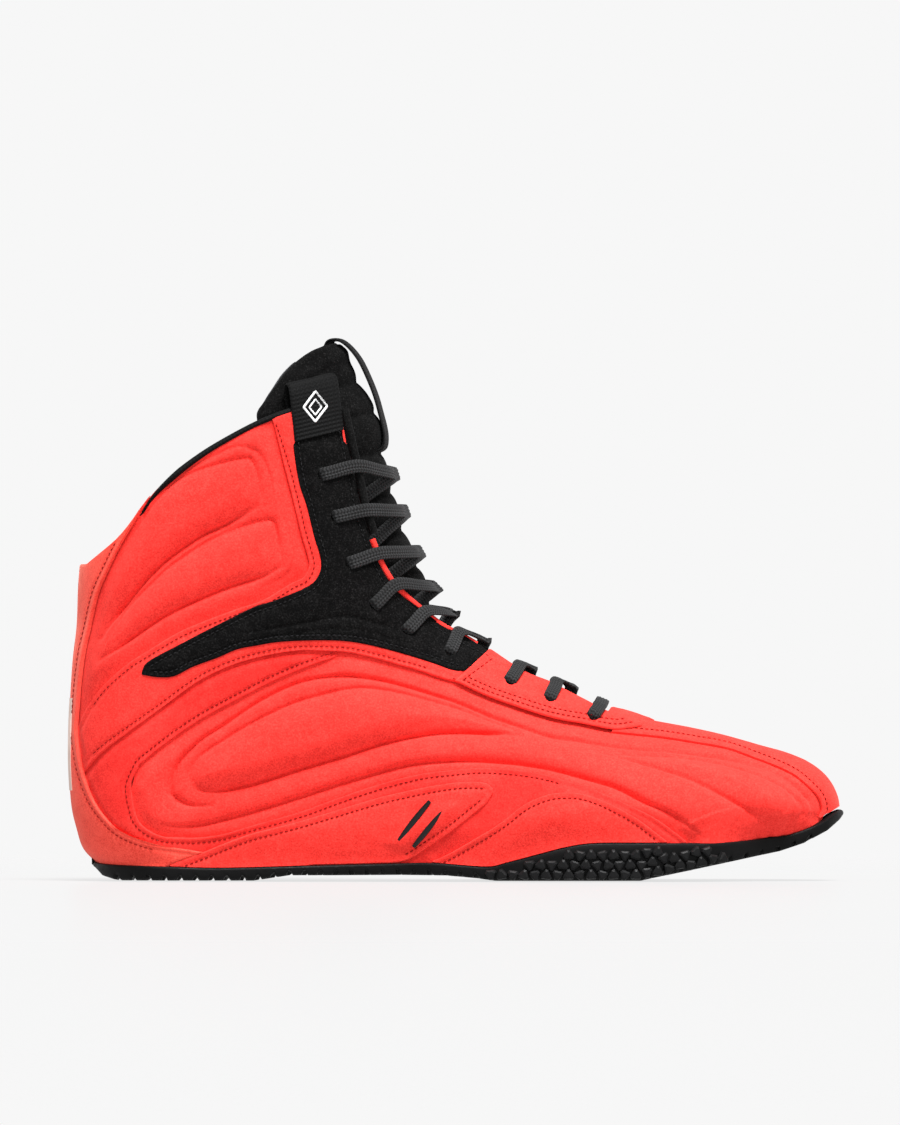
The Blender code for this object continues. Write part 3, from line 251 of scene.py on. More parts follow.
def even(curve, step):
    """The polyline as points this far apart."""
    along = lengths(curve)
    return at(np.linspace(0, along[-1], max(2, round(along[-1] / step) + 1)), along, curve)


# Tables read between their knots.
TABLE_ROWS = 500
PLAN_TABLE = {-1: smooth(list(zip(PLAN_X, PLAN_LATERAL)), TABLE_ROWS),
              1: smooth(list(zip(PLAN_X, PLAN_MEDIAL)), TABLE_ROWS)}
ROUNDING_TABLE = smooth(list(zip(FRONT_X, FRONT_ROUNDING)), TABLE_ROWS)
FEATHER_TABLE = smooth(FEATHER, TABLE_ROWS)
BOTTOM_TABLE = np.array(BOTTOM, float)
HEEL_TABLE = smooth(HEEL_BACK[:-1] + ((-141.6, 126), (-138.5, 150), (-134, 215)), TABLE_ROWS)
HEEL_TABLE = HEEL_TABLE[np.argsort(HEEL_TABLE[:, 1])]


def read(table, x):
    return np.interp(x, table[:, 0], table[:, 1])


def heel_x(z):
    """The heel's back at this height, on the centre line."""
    return np.interp(z, HEEL_TABLE[:, 1], HEEL_TABLE[:, 0])


def ease(x, low, high):
    t = np.clip((np.asarray(x, float) - low) / (high - low), 0, 1)
    return t * t * (3 - 2 * t)


def line_distance(points, line):
    """Signed distance of each point from a line, positive to the right of its direction, and the nearest X."""
    start = line[:-1]
    run = line[1:] - start
    squared_run = np.maximum((run**2).sum(1), 1e-12)
    far = np.empty(len(points))
    near_x = np.empty(len(points))
    for low in range(0, len(points), 6000):
        some = points[low:low + 6000]
        rel_x = some[:, 0, None] - start[None, :, 0]
        rel_z = some[:, 1, None] - start[None, :, 1]
        t = np.clip((rel_x * run[:, 0] + rel_z * run[:, 1]) / squared_run, 0, 1)
        gap_x = rel_x - t * run[:, 0]
        gap_z = rel_z - t * run[:, 1]
        squared = gap_x**2 + gap_z**2
        best = squared.argmin(1)
        rows = np.arange(len(some))
        turn = run[best, 0] * gap_z[rows, best] - run[best, 1] * gap_x[rows, best]
        far[low:low + 6000] = np.where(turn <= 0, 1, -1) * np.sqrt(squared[rows, best])
        near_x[low:low + 6000] = some[:, 0] - gap_x[rows, best]
    return far, near_x


def away(points, line):
    return np.abs(line_distance(points, line)[0])


FRONT_LINE = smooth(FRONT, 260)
EDGE_LINE = joined(smooth(THROAT_UPPER, 60), smooth(EYESTAY_THROAT, 40))
GUARD_LINE = joined(smooth(COLLAR[:7], 30), smooth(((-83, 170), (-68, 180), (-64, 191), (-55, 195), (-46, 194),
                                                    (-42.5, 184), (-42.5, 179)), 20),
                    smooth(THROAT_UPPER[1:], 40), smooth(EYESTAY_THROAT, 30))


def rounding(ratio):
    inside = np.minimum(ratio, 1)
    return inside * (2 - inside)


def make_fields():
    """The squared half width of the skin on a grid of side-view points, with its slopes, for each side."""
    grid = np.stack(np.meshgrid(FIELD_X, FIELD_Z, indexing="ij"), axis=-1).reshape(-1, 2)
    x = grid[:, 0]
    z = grid[:, 1]
    nose = int(np.argmax(FRONT_LINE[:, 0]))
    near_x = line_distance(grid, FRONT_LINE)[1]
    near_x += (x - near_x) * ease(x, 85, 118)
    ahead = line_distance(grid, np.vstack([FRONT_LINE[:nose + 1], FRONT_LINE[nose] - (0, 60)]))[0]
    below = line_distance(grid, FRONT_LINE[nose:])[0] * 1.15 + 0.8
    blend = 0.4 + 0.22 * np.maximum(np.minimum(ahead, below), 0)
    front = np.minimum(ahead, below) - blend * np.log1p(np.exp(-np.abs(ahead - below) / blend))
    rear = x - heel_x(z)
    ends = rounding(front / read(ROUNDING_TABLE, near_x)) * rounding(rear / HEEL_ROUNDING)
    fields = {}
    for side in (-1, 1):
        plan = read(PLAN_TABLE[side], x)
        wide = plan + (SHAFT_HALF_WIDTH - plan) * ease(z, 35, 105)
        wide = wide * (1 - 0.07 * (1 - ease(z - read(FEATHER_TABLE, x), 0, 16)))
        square = (wide**2 * ends).reshape(len(FIELD_X), len(FIELD_Z))
        by_x, by_z = np.gradient(square, FIELD_STEP)
        fields[side] = (square, by_x, by_z)
    return fields


FIELDS = make_fields()


def sample(field, points):
    u = np.clip((points[:, 0] - FIELD_X[0]) / FIELD_STEP, 0, len(FIELD_X) - 1.001)
    v = np.clip((points[:, 1] - FIELD_Z[0]) / FIELD_STEP, 0, len(FIELD_Z) - 1.001)
    i = u.astype(int)
    j = v.astype(int)
    a = u - i
    b = v - j
    low = field[i, j] * (1 - b) + field[i, j + 1] * b
    high = field[i + 1, j] * (1 - b) + field[i + 1, j + 1] * b
    return low * (1 - a) + high * a


def centre(x):
    return TOE_SHIFT * ease(x, 0, 150) - CENTRE_Y


def skin(points, side, offset=0.0, gap=0.0):
    """Points of the layer at this offset from the skin, in millimetres, and the skin's normals there."""
    points = np.asarray(points, float).reshape(-1, 2)
    square, by_x, by_z = (sample(field, points) for field in FIELDS[side])
    y = np.maximum(np.sqrt(np.maximum(square, 0)), gap)
    slope = (centre(points[:, 0] + 0.4) - centre(points[:, 0] - 0.4)) / 0.8
    normal = unit(np.column_stack([-by_x - 2 * side * y * slope, 2 * side * y, -by_z]))
    if gap:
        normal[:, 1] = np.where(y <= gap, 0, normal[:, 1])
        normal = unit(normal)
    base = np.column_stack([points[:, 0], centre(points[:, 0]) + side * y, points[:, 1]])
    return base + normal * np.reshape(offset, (-1, 1)), normal


# Materials.
def add(tree, kind, inputs=(), **settings):
    made = tree.nodes.new(kind)
    for name, value in settings.items():
        setattr(made, name, value)
    for key, value in dict(inputs).items():
        if isinstance(value, bpy.types.NodeSocket):
            tree.links.new(value, made.inputs[key])
        else:
            made.inputs[key].default_value = value
    return made


def noise(tree, place, scale, detail=2.0, rough=0.5):
    return add(tree, "ShaderNodeTexNoise", {"Vector": place, "Scale": scale, "Detail": detail,
                                            "Roughness": rough}).outputs["Fac"]


def spread(tree, value, low, high, to_low=0.0, to_high=1.0):
    return add(tree, "ShaderNodeMapRange", {"Value": value, "From Min": low, "From Max": high, "To Min": to_low,
                                            "To Max": to_high}).outputs["Result"]


def sums(tree, how, first, second):
    return add(tree, "ShaderNodeMath", {0: first, 1: second}, operation=how).outputs[0]


def mixed(tree, share, first, second):
    made = add(tree, "ShaderNodeMix", {"Factor": share}, data_type="RGBA")
    for key, value in ((6, first), (7, second)):
        if isinstance(value, bpy.types.NodeSocket):
            tree.links.new(value, made.inputs[key])
        else:
            made.inputs[key].default_value = (*value, 1)
    return made.outputs[2]


def bumped(tree, height, strength, distance, before=None):
    inputs = {"Height": height, "Strength": strength, "Distance": distance}
    if before is not None:
        inputs["Normal"] = before
    return add(tree, "ShaderNodeBump", inputs).outputs["Normal"]


def new_paint(name, roughness, sheen=0.0, sheen_tint=(1, 1, 1), sheen_rough=0.5, specular=0.5):
    made = bpy.data.materials.new(name)
    made.use_nodes = True
    tree = made.node_tree
    shader = tree.nodes["Principled BSDF"]
    shader.inputs["Roughness"].default_value = roughness
    shader.inputs["Specular IOR Level"].default_value = specular
    shader.inputs["Sheen Weight"].default_value = sheen
    shader.inputs["Sheen Roughness"].default_value = sheen_rough
    shader.inputs["Sheen Tint"].default_value = (*sheen_tint, 1)
    place = add(tree, "ShaderNodeTexCoord").outputs["Object"]
    return made, tree, shader, place


def suede(name, deep, main, light, sheen, tint, flecks=0.0, clouds=0.1, specular=0.12):
    """Napped leather: cloudy brushing marks, a fine fibre grain, and paler rubbed edges."""
    made, tree, shader, place = new_paint(name, 0.9, sheen, tint, 0.45, specular)
    cloud = noise(tree, place, 38.0, 3.0, 0.55)
    brush = noise(tree, place, 260.0, 2.0, 0.6)
    grain = noise(tree, place, 1500.0, 2.0, 0.7)
    fibre = noise(tree, place, 3200.0, 1.0, 0.5)
    tone = sums(tree, "ADD", sums(tree, "MULTIPLY", cloud, clouds), sums(tree, "MULTIPLY", brush, 0.2))
    tone = sums(tree, "ADD", tone, sums(tree, "MULTIPLY", grain, 0.8 - clouds))
    colour = mixed(tree, spread(tree, tone, 0.34, 0.5), deep, main)
    colour = mixed(tree, spread(tree, tone, 0.5, 0.68), colour, light)
    edge_pointiness = add(tree, "ShaderNodeNewGeometry").outputs["Pointiness"]
    colour = mixed(tree, spread(tree, edge_pointiness, 0.53, 0.62, 0.0, 0.55), colour, light)
    if flecks:
        speck = spread(tree, noise(tree, place, 1300.0, 2.0, 0.8), 0.6, 0.72, 0.0, flecks)
        colour = mixed(tree, speck, colour, (0.075, 0.072, 0.072))
    tree.links.new(colour, shader.inputs["Base Color"])
    tree.links.new(spread(tree, grain, 0.3, 0.7, 0.8, 0.98), shader.inputs["Roughness"])
    relief = sums(tree, "ADD", sums(tree, "MULTIPLY", grain, 0.6), sums(tree, "MULTIPLY", fibre, 0.4))
    tree.links.new(bumped(tree, relief, 0.75, 0.00027), shader.inputs["Normal"])
    return made


def woven(name, dark, light, pitch_along, pitch_across, rough=0.75, depth=0.00012, sheen=0.25):
    """Cloth with its threads laid along and across, read from the piece's own weave coordinates in millimetres."""
    made, tree, shader, place = new_paint(name, rough, sheen, (0.8, 0.8, 0.82), 0.5, 0.12)
    weave = add(tree, "ShaderNodeUVMap", uv_map="weave").outputs["UV"]
    axes = add(tree, "ShaderNodeSeparateXYZ", {"Vector": weave})
    across = sums(tree, "MULTIPLY", axes.outputs["X"], math.tau / pitch_across)
    along = sums(tree, "MULTIPLY", axes.outputs["Y"], math.tau / pitch_along)
    shift = sums(tree, "MULTIPLY", sums(tree, "SINE", across, 0.0), 1.1)
    thread = sums(tree, "SINE", sums(tree, "ADD", along, shift), 0.0)
    column = sums(tree, "COSINE", sums(tree, "MULTIPLY", across, 2.0), 0.0)
    height = sums(tree, "ADD", sums(tree, "MULTIPLY", thread, 0.35), sums(tree, "MULTIPLY", column, 0.15))
    height = sums(tree, "ADD", height, 0.5)
    fuzz = noise(tree, place, 2600.0, 2.0, 0.6)
    cloud = noise(tree, place, 90.0, 2.0, 0.5)
    # The weave's low places are painted darker and its raised threads lighter, following the bump height: painted shade
    # and highlight.
    colour = mixed(tree, spread(tree, height, 0.1, 0.95), dark, light)
    colour = mixed(tree, spread(tree, cloud, 0.35, 0.7, 0.0, 0.4), colour, dark)
    tree.links.new(colour, shader.inputs["Base Color"])
    tree.links.new(spread(tree, fuzz, 0.3, 0.7, rough - 0.08, rough + 0.12), shader.inputs["Roughness"])
    first = bumped(tree, height, 0.8, depth)
    tree.links.new(bumped(tree, fuzz, 0.35, 0.0001, first), shader.inputs["Normal"])
    return made


def knit(name, dark, light, cell, rough, sheen, depth=0.00018):
    """Lining mesh or neoprene: small round cells over a cloudy tone."""
    made, tree, shader, place = new_paint(name, rough, sheen, (0.75, 0.75, 0.8), 0.5, 0.3)
    cells = add(tree, "ShaderNodeTexVoronoi", {"Vector": place, "Scale": 1000.0 / cell, "Randomness": 0.35})
    fuzz = noise(tree, place, 2200.0, 2.0, 0.6)
    cloud = noise(tree, place, 55.0, 3.0, 0.55)
    height = spread(tree, cells.outputs["Distance"], 0.1, 0.6)
    # The cell pits are painted darker than their rims, following the bump height: painted shade.
    colour = mixed(tree, height, dark, light)
    colour = mixed(tree, spread(tree, cloud, 0.35, 0.7, 0.0, 0.45), colour, dark)
    tree.links.new(colour, shader.inputs["Base Color"])
    tree.links.new(spread(tree, fuzz, 0.3, 0.7, rough - 0.06, rough + 0.1), shader.inputs["Roughness"])
    first = bumped(tree, height, 0.7, depth)
    tree.links.new(bumped(tree, fuzz, 0.4, 0.00012, first), shader.inputs["Normal"])
    return made


def rubber_paint():
    made, tree, shader, place = new_paint("sole_rubber", 0.5, 0.0, (1, 1, 1), 0.5, 0.1)
    cloud = noise(tree, place, 45.0, 3.0, 0.55)
    pores = noise(tree, place, 1700.0, 2.0, 0.6)
    scuff = noise(tree, place, 300.0, 3.0, 0.7)
    edge_pointiness = add(tree, "ShaderNodeNewGeometry").outputs["Pointiness"]
    colour = mixed(tree, spread(tree, cloud, 0.35, 0.7), (0.0012, 0.0012, 0.0012), (0.0028, 0.0028, 0.003))
    # Convex edges of the studs and rim are painted lighter: a painted highlight where their facets catch the light.
    colour = mixed(tree, spread(tree, edge_pointiness, 0.52, 0.64, 0.0, 0.8), colour, (0.013, 0.013, 0.0135))
    tree.links.new(colour, shader.inputs["Base Color"])
    tree.links.new(spread(tree, scuff, 0.3, 0.75, 0.38, 0.62), shader.inputs["Roughness"])
    tree.links.new(bumped(tree, pores, 0.3, 0.00015), shader.inputs["Normal"])
    return made


def plain_paint(name, colour, roughness, grain=1800.0, depth=0.0001, specular=0.5):
    made, tree, shader, place = new_paint(name, roughness, 0.0, (1, 1, 1), 0.5, specular)
    fuzz = noise(tree, place, grain, 2.0, 0.6)
    cloud = noise(tree, place, 120.0, 2.0, 0.5)
    darker = tuple(value * 0.78 for value in colour)
    tree.links.new(mixed(tree, spread(tree, cloud, 0.35, 0.7), colour, darker), shader.inputs["Base Color"])
    tree.links.new(spread(tree, fuzz, 0.3, 0.7, roughness - 0.08, min(1.0, roughness + 0.08)),
                   shader.inputs["Roughness"])
    tree.links.new(bumped(tree, fuzz, 0.4, depth), shader.inputs["Normal"])
    return made


RED = suede("red_suede_nap", (0.62, 0.018, 0.013), (0.81, 0.033, 0.026), (0.91, 0.056, 0.044), 0.19, (1.0, 0.3, 0.24))
# A lit copy of the red suede for the heel panel: its paler, more orange base colour is painted light, standing in for
# light falling on the heel from behind, and its sheen is set stronger.
HEEL_RED_PAINTED_LIGHT = suede("heel_red_suede_painted_rim_light", (0.64, 0.03, 0.02), (0.83, 0.064, 0.044), (0.92, 0.095, 0.066), 0.42,
                 (1.0, 0.42, 0.32))
DARK_RED = suede("dark_red_suede_nap", (0.54, 0.01, 0.008), (0.74, 0.026, 0.021), (0.88, 0.05, 0.04), 0.2,
                 (1.0, 0.26, 0.2), 0.0, 0.3)
BLACK = suede("black_suede_nap", (0.0008, 0.0008, 0.0008), (0.0022, 0.0021, 0.0021), (0.012, 0.0115, 0.0115), 0.012,
              (0.8, 0.8, 0.8), 0.2, 0.1, 0.05)
TONGUE_PAINT = suede("black_tongue_cloth", (0.0009, 0.0009, 0.0009), (0.0024, 0.0023, 0.0023), (0.01, 0.01, 0.01),
                     0.02, (0.8, 0.8, 0.82), 0.25, 0.1, 0.06)
LINING_PAINT = knit("black_lining_knit", (0.006, 0.006, 0.0065), (0.03, 0.03, 0.032), 1.3, 0.8, 0.3)
WEBBING_PAINT = woven("black_webbing_weave", (0.0006, 0.0006, 0.0006), (0.0045, 0.0045, 0.0047), 1.5, 1.6, sheen=0.012)
LACE_PAINT = woven("black_lace_weave", (0.0045, 0.0045, 0.0045), (0.032, 0.032, 0.033), 1.3, 2.0, sheen=0.06)
RUBBER = rubber_paint()
RED_THREAD = plain_paint("red_thread", (0.24, 0.005, 0.004), 0.85, specular=0.1)
GREY_THREAD = plain_paint("grey_thread", (0.016, 0.016, 0.017), 0.85, specular=0.1)
WHITE_PRINT = plain_paint("white_print", (0.78, 0.78, 0.78), 0.5)
BLACK_PRINT = plain_paint("black_print", (0.004, 0.003, 0.003), 0.4, specular=0.3)
LABEL_PAINT = plain_paint("pale_label", (0.86, 0.66, 0.58), 0.8, specular=0.2)


# Meshes.
def add_mesh(name, points, faces, paint, body="boot", replaced=(), slot=None, weave=None, sharp=42.0):
    """A mesh object from points in millimetres, turned outward and shaded smooth, riding on a body."""
    points = np.asarray(points, float)
    faces = [tuple(int(k) for k in face) for face in faces]
    corner = np.array([face[:3] for face in faces])
    more = np.array([(face[0], face[2], face[3]) for face in faces if len(face) == 4]).reshape(-1, 3)
    tris = np.vstack([corner, more])
    volume = np.einsum("ij,ij->", points[tris[:, 0]], np.cross(points[tris[:, 1]], points[tris[:, 2]]))
    if volume < 0:
        faces = [tuple(reversed(face)) for face in faces]
    mesh = bpy.data.meshes.new(name)
    mesh.from_pydata((points * MM).tolist(), [], faces)
    mesh.update()
    mesh.polygons.foreach_set("use_smooth", np.ones(len(mesh.polygons), bool))
    mesh.set_sharp_from_angle(angle=math.radians(sharp))
    if weave is not None:
        layer = mesh.uv_layers.new(name="weave")
        index = np.empty(len(mesh.loops), np.int32)
        mesh.loops.foreach_get("vertex_index", index)
        layer.data.foreach_set("uv", np.asarray(weave, float)[index].astype(np.float32).ravel())
    mesh.materials.append(paint)
    obj = bpy.data.objects.new(name, mesh)
    bpy.context.scene.collection.objects.link(obj)
    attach(obj, body)
    if replaced:
        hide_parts(*replaced)
    return obj


def sheet_faces(rows, columns, keep=None):
    """The faces of a closed sheet with an outer and an inner grid, leaving out the cells that keep is false for."""
    count = rows * columns
    index = np.arange(count).reshape(rows, columns)
    quads = np.stack([index[:-1, :-1], index[:-1, 1:], index[1:, 1:], index[1:, :-1]], axis=-1)
    quads = quads.reshape(-1, 4) if keep is None else quads[keep]
    ends = np.concatenate([quads[:, [0, 1]], quads[:, [1, 2]], quads[:, [2, 3]], quads[:, [3, 0]]])
    key = ends[:, 0] * count + ends[:, 1]
    back = ends[:, 1] * count + ends[:, 0]
    rim = ends[~np.isin(back, key)]
    walls = np.column_stack([rim[:, 1], rim[:, 0], rim[:, 0] + count, rim[:, 1] + count])
    return np.vstack([quads, quads[:, ::-1] + count, walls])


def used_only(points, faces, weave=None):
    kept = np.unique(faces)
    place = np.full(len(points), -1)
    place[kept] = np.arange(len(kept))
    return points[kept], place[faces], None if weave is None else weave[kept]


def heel_bulge(points, near):
    """How far back the heel's curve carries points at this height, fading out 40 mm in front of it."""
    return (heel_x(points[..., 1]) + 143) * (1 - ease(near, -140, -100))


def ruled(first, second, steps):
    """Side-view points between two curves, with cross lines that follow the heel's back near it."""
    straight = []
    for curve in (first, second):
        x = curve[:, 0].copy()
        for _ in range(12):
            x = curve[:, 0] - heel_bulge(curve, x)
        straight.append(np.column_stack([x, curve[:, 1]]))
    grid = straight[0][:, None, :] * (1 - steps)[..., None] + straight[1][:, None, :] * steps[..., None]
    grid[..., 0] += heel_bulge(grid, grid[..., 0])
    return grid


EDGE_ROWS = np.array((0, 0.22, 0.5, 0.9, 1.5))


def edged_steps(first, second, count, both=True):
    """Row positions from 0 to 1 for each column, crowded over the first 1.5 mm from each border."""
    length = np.maximum(np.linalg.norm(second - first, axis=1), 0.2)[:, None]
    near = np.minimum(EDGE_ROWS[None, :] / length, EDGE_ROWS[None, :] / EDGE_ROWS[-1] * 0.3)
    low = near[:, -1:]
    high = 1 - near[:, -1:] if both else np.ones_like(low)
    middle = low + (high - low) * np.linspace(0, 1, count)[None, :]
    parts = [near[:, :-1], middle]
    if both:
        parts.append(1 - near[:, -2::-1])
    return np.concatenate(parts, axis=1)


def grid_between(first, second, rows, both=True):
    return ruled(first, second, edged_steps(first, second, rows, both))


def border(grid):
    return np.vstack([grid[0], grid[1:, -1], grid[-1, -2::-1], grid[-2::-1, 0]])


def lip(distance, radius=0.42):
    """How far a cut edge drops at this distance from the border."""
    inside = np.clip(1 - distance / radius, 0, 1)
    return radius * (1 - np.sqrt(1 - inside**2))


def grooves(points, *lines):
    """The depth of moulded lines, each given as its curve, its depth and its width."""
    total = np.zeros(len(points))
    for line, depth, width in lines:
        line = smooth(line, 90) if isinstance(line, tuple) else line
        far = away(points, line)
        soft = np.exp(-(np.sqrt(far**2 + 0.16) - 0.4) / width)
        sharp = np.exp(-((far / 0.75) ** 2))
        taper = 1.0
        for end in (line[0], line[-1]):
            taper = taper * (0.3 + 0.7 * ease(np.linalg.norm(points - end, axis=1), 1, 15))
        total -= depth * taper * (0.62 * soft + 0.38 * sharp)
    return total


def inside_of(points, loop):
    """True where a point is inside the closed loop."""
    start = loop
    end = np.roll(loop, -1, axis=0)
    found = np.zeros(len(points), bool)
    for (ax, az), (bx, bz) in zip(start, end):
        cross = (az > points[:, 1]) != (bz > points[:, 1])
        if az != bz:
            found ^= cross & (points[:, 0] < (bx - ax) * (points[:, 1] - az) / (bz - az) + ax)
    return found


def punched(grid, holes, radius):
    """Moves the grid's points near each hole onto its rim, and says which cells stay."""
    keep = np.ones((grid.shape[0] - 1, grid.shape[1] - 1), bool)
    for hole in holes:
        cell = (grid[:-1, :-1] + grid[1:, 1:] + grid[:-1, 1:] + grid[1:, :-1]) / 4
        gone = np.linalg.norm(cell - hole, axis=-1) < radius
        if not gone.any():
            continue
        keep &= ~gone
        touched = np.zeros(grid.shape[:2], int)
        for a, b in ((0, 0), (0, 1), (1, 0), (1, 1)):
            touched[a:a + gone.shape[0], b:b + gone.shape[1]] += gone
        edge = (touched > 0) & (touched < 4)
        way = grid[edge] - hole
        grid[edge] = hole + way / np.maximum(np.linalg.norm(way, axis=1), 1e-6)[:, None] * radius
    return keep


def panel(name, grid, side, outer, inner, paint, holes=(), hole_radius=2.3, **more):
    """A panel on one side of the boot. outer is its offset at every grid point."""
    keep = None
    if len(holes):
        grid = grid.copy()
        keep = punched(grid, holes, hole_radius)
    flat = grid.reshape(-1, 2)
    front = skin(flat, side, outer, 0.3)[0]
    back = skin(flat, side, inner, 0.3)[0]
    points = np.vstack([front, back])
    weave = np.vstack([flat, flat])
    faces = sheet_faces(grid.shape[0], grid.shape[1], keep)
    points, faces, weave = used_only(points, faces, weave)
    return add_mesh(name, points, faces, paint, weave=weave, **more)


def both_sides(stems, grid, outer, inner, paint, slot, rows=(), level=0.0, **more):
    """A panel on each side, with its rows of red stitches. stems are the starts of the cover's and the node's names."""
    sew_red(rows, level)
    cover, node = stems
    return [panel(f"{cover}_{word}", grid, side, outer, inner, paint, replaced=(f"{node}_{word}",), slot=slot, **more)
            for side, word in SIDES]


def wrapped(name, grid, outer, inner, paint, **more):
    """A panel that crosses the centre line at the grid's first column."""
    rows, columns = grid.shape[:2]
    layers = []
    for offset in (outer, inner):
        value = np.broadcast_to(offset, (rows * columns,))
        lateral = skin(grid.reshape(-1, 2), -1, value)[0].reshape(rows, columns, 3)
        medial = skin(grid.reshape(-1, 2), 1, value)[0].reshape(rows, columns, 3)
        middle = (lateral[:, :1] + medial[:, :1]) / 2
        layers.append(np.concatenate([lateral[:, :0:-1], middle, medial[:, 1:]], axis=1))
    flat = np.concatenate([grid[:, :0:-1], grid], axis=1).reshape(-1, 2)
    points = np.vstack([layers[0].reshape(-1, 3), layers[1].reshape(-1, 3)])
    faces = sheet_faces(rows, 2 * columns - 1)
    return add_mesh(name, points, faces, paint, weave=np.vstack([flat, flat]), **more)


def lofted(rings):
    """Points and faces of the solid through closed rings, with a fan over each end."""
    length, count = rings.shape[:2]
    index = np.arange(length * count).reshape(length, count)
    turned = np.roll(index, -1, axis=1)
    faces = np.stack([index[:-1], turned[:-1], turned[1:], index[1:]], axis=-1).reshape(-1, 4).tolist()
    for ring, middle in ((0, length * count), (-1, length * count + 1)):
        for here, beyond in zip(index[ring].tolist(), turned[ring].tolist()):
            faces.append((here, beyond, middle) if ring else (beyond, here, middle))
    return np.vstack([rings.reshape(-1, 3), rings[0].mean(0), rings[-1].mean(0)]), faces


def sweep(centres, across, profile):
    """Points, faces and weave coordinates of a closed profile of (across, up) points carried along the centres."""
    centres = np.asarray(centres, float)
    run = unit(np.gradient(centres, axis=0))
    across = np.asarray(across, float)
    across = unit(across - (across * run).sum(1)[:, None] * run)
    up = np.cross(run, across)
    profile = np.asarray(profile, float)
    if profile.ndim == 2:
        profile = np.broadcast_to(profile, (len(centres),) + profile.shape)
    points, faces = lofted(centres[:, None] + across[:, None] * profile[..., :1] + up[:, None] * profile[..., 1:])
    along = lengths(centres)
    weave = np.stack([profile[..., 0], np.broadcast_to(along[:, None], profile.shape[:2])], axis=-1)
    return points, faces, np.vstack([weave.reshape(-1, 2), [0, 0], [0, along[-1]]])


def stitches(curve, side, offset, pitch=2.0, length=1.3, radius=0.2):
    """Threads along a side-view curve, each a short rounded bar half sunk in the panel."""
    line = even(curve, 0.4)
    along = lengths(line)
    middles = np.arange(pitch / 2, along[-1] - pitch / 2, pitch)
    shape = ((-1.0, 0.25), (-0.82, 0.78), (0.0, 1.0), (0.82, 0.78), (1.0, 0.25))
    stations = (middles[:, None] + np.array([row[0] for row in shape]) * length / 2).ravel()
    centres, out = skin(at(stations, along, line), side, offset)
    centres = centres.reshape(len(middles), 5, 3)
    out = out.reshape(len(middles), 5, 3)
    dip = np.array((-0.22, -0.02, 0.06, -0.02, -0.22))
    centres = centres + out * dip[None, :, None]
    across = unit(np.cross(unit(centres[:, -1] - centres[:, 0])[:, None], out))
    rings = []
    for k in range(6):
        turn = math.tau * k / 6
        swell = radius * np.array([row[1] for row in shape])[None, :, None]
        rings.append(centres + (across * math.cos(turn) * 1.15 + out * math.sin(turn) * 0.85) * swell)
    points = np.stack(rings, axis=2).reshape(-1, 3)
    block = np.arange(30).reshape(5, 6)
    turned = np.roll(block, -1, axis=1)
    one = np.stack([block[:-1], turned[:-1], turned[1:], block[1:]], axis=-1).reshape(-1, 4)
    ends = np.array([(5, 4, 3, 2), (5, 2, 1, 0), (24, 25, 26, 27), (24, 27, 28, 29)])
    one = np.vstack([one, ends])
    faces = (one[None] + 30 * np.arange(len(middles))[:, None, None]).reshape(-1, 4)
    return points, faces


def gathered(parts):
    """Several sets of points and faces as one."""
    points = []
    faces = []
    count = 0
    for some, turns in parts:
        points.append(some)
        faces.append(np.asarray(turns) + count)
        count += len(some)
    return np.vstack(points), np.vstack(faces)


def heel_line(low, high, count):
    z = np.linspace(low, high, count)
    return np.column_stack([heel_x(z), z])


def above_feather(curve, lift):
    low = read(FEATHER_TABLE, curve[:, 0]) + lift
    return np.column_stack([curve[:, 0], np.maximum(curve[:, 1], low)])


def ridge(low, high, count):
    x = np.linspace(low, high, count)
    ahead = FRONT_LINE[FRONT_LINE[:, 0] > -20]
    return np.column_stack([x, read(ahead[:ahead[:, 0].argmax() + 1], x)])


UNDER = 1.6
HOLES = np.array(EYELETS, float)
COLLAR_LINE = smooth(COLLAR, 160)
SEAM_ANKLE = smooth(ANKLE_SEAM, 160)
SEAM_BAND = smooth(BAND_SEAM, 160)
SEAM_QUILT = joined(smooth(QUILT_LOW, 120)[::-1], smooth(((-122.5, 30), (-123, 36), (-119.5, 44)), 12),
                    smooth(QUILT_LEFT_TOP, 100), smooth(STRIPE_SEAM, 100))
SEAM_HEEL = smooth(HEEL_SEAM, 140)
OVERLAY_LOOP = np.vstack([smooth(OVERLAY_REAR, 120), smooth(OVERLAY_FRONT, 60)[::-1], smooth(OVERLAY_LOW, 100)[::-1]])
EYESTAY_LOOP = np.vstack([smooth(EYESTAY_THROAT, 40), smooth(EYESTAY_LOW, 60)[::-1]])
ARCH_LOOP = np.vstack([smooth(ARCH_TOP, 80), ((10, 3), (-110, 3))])
HEEL_ZONE = np.vstack([SEAM_HEEL[:120] + (1.5, 0), [(-133, 8), (-150, 8), (-150, 120), (-141, 125)]])
RED_STITCHES = []
GREY_STITCHES = []


def sew_red(rows, level):
    """Rows of red stitches on both sides, at this offset from the skin."""
    for side, _ in SIDES:
        for row in rows:
            RED_STITCHES.append(stitches(row, side, level))


def sunk(points, *lines):
    """The shallow channel that a row of stitches pulls into the surface."""
    total = np.zeros(len(points))
    for line in lines:
        total -= 0.28 * np.exp(-(away(points, line) / 0.7) ** 2)
    return total


def dimples(points, holes, depth, width):
    """The dip that the pulled lace makes round each eyelet."""
    total = np.zeros(len(points))
    for hole in holes:
        total -= depth * np.exp(-(np.linalg.norm(points - hole, axis=1) / width) ** 4)
    return total


def capped(outer, points, loop, most):
    """The offsets, no higher than this inside the loop, where another piece lies on top."""
    return np.where(inside_of(points, loop), np.minimum(outer, most), outer)


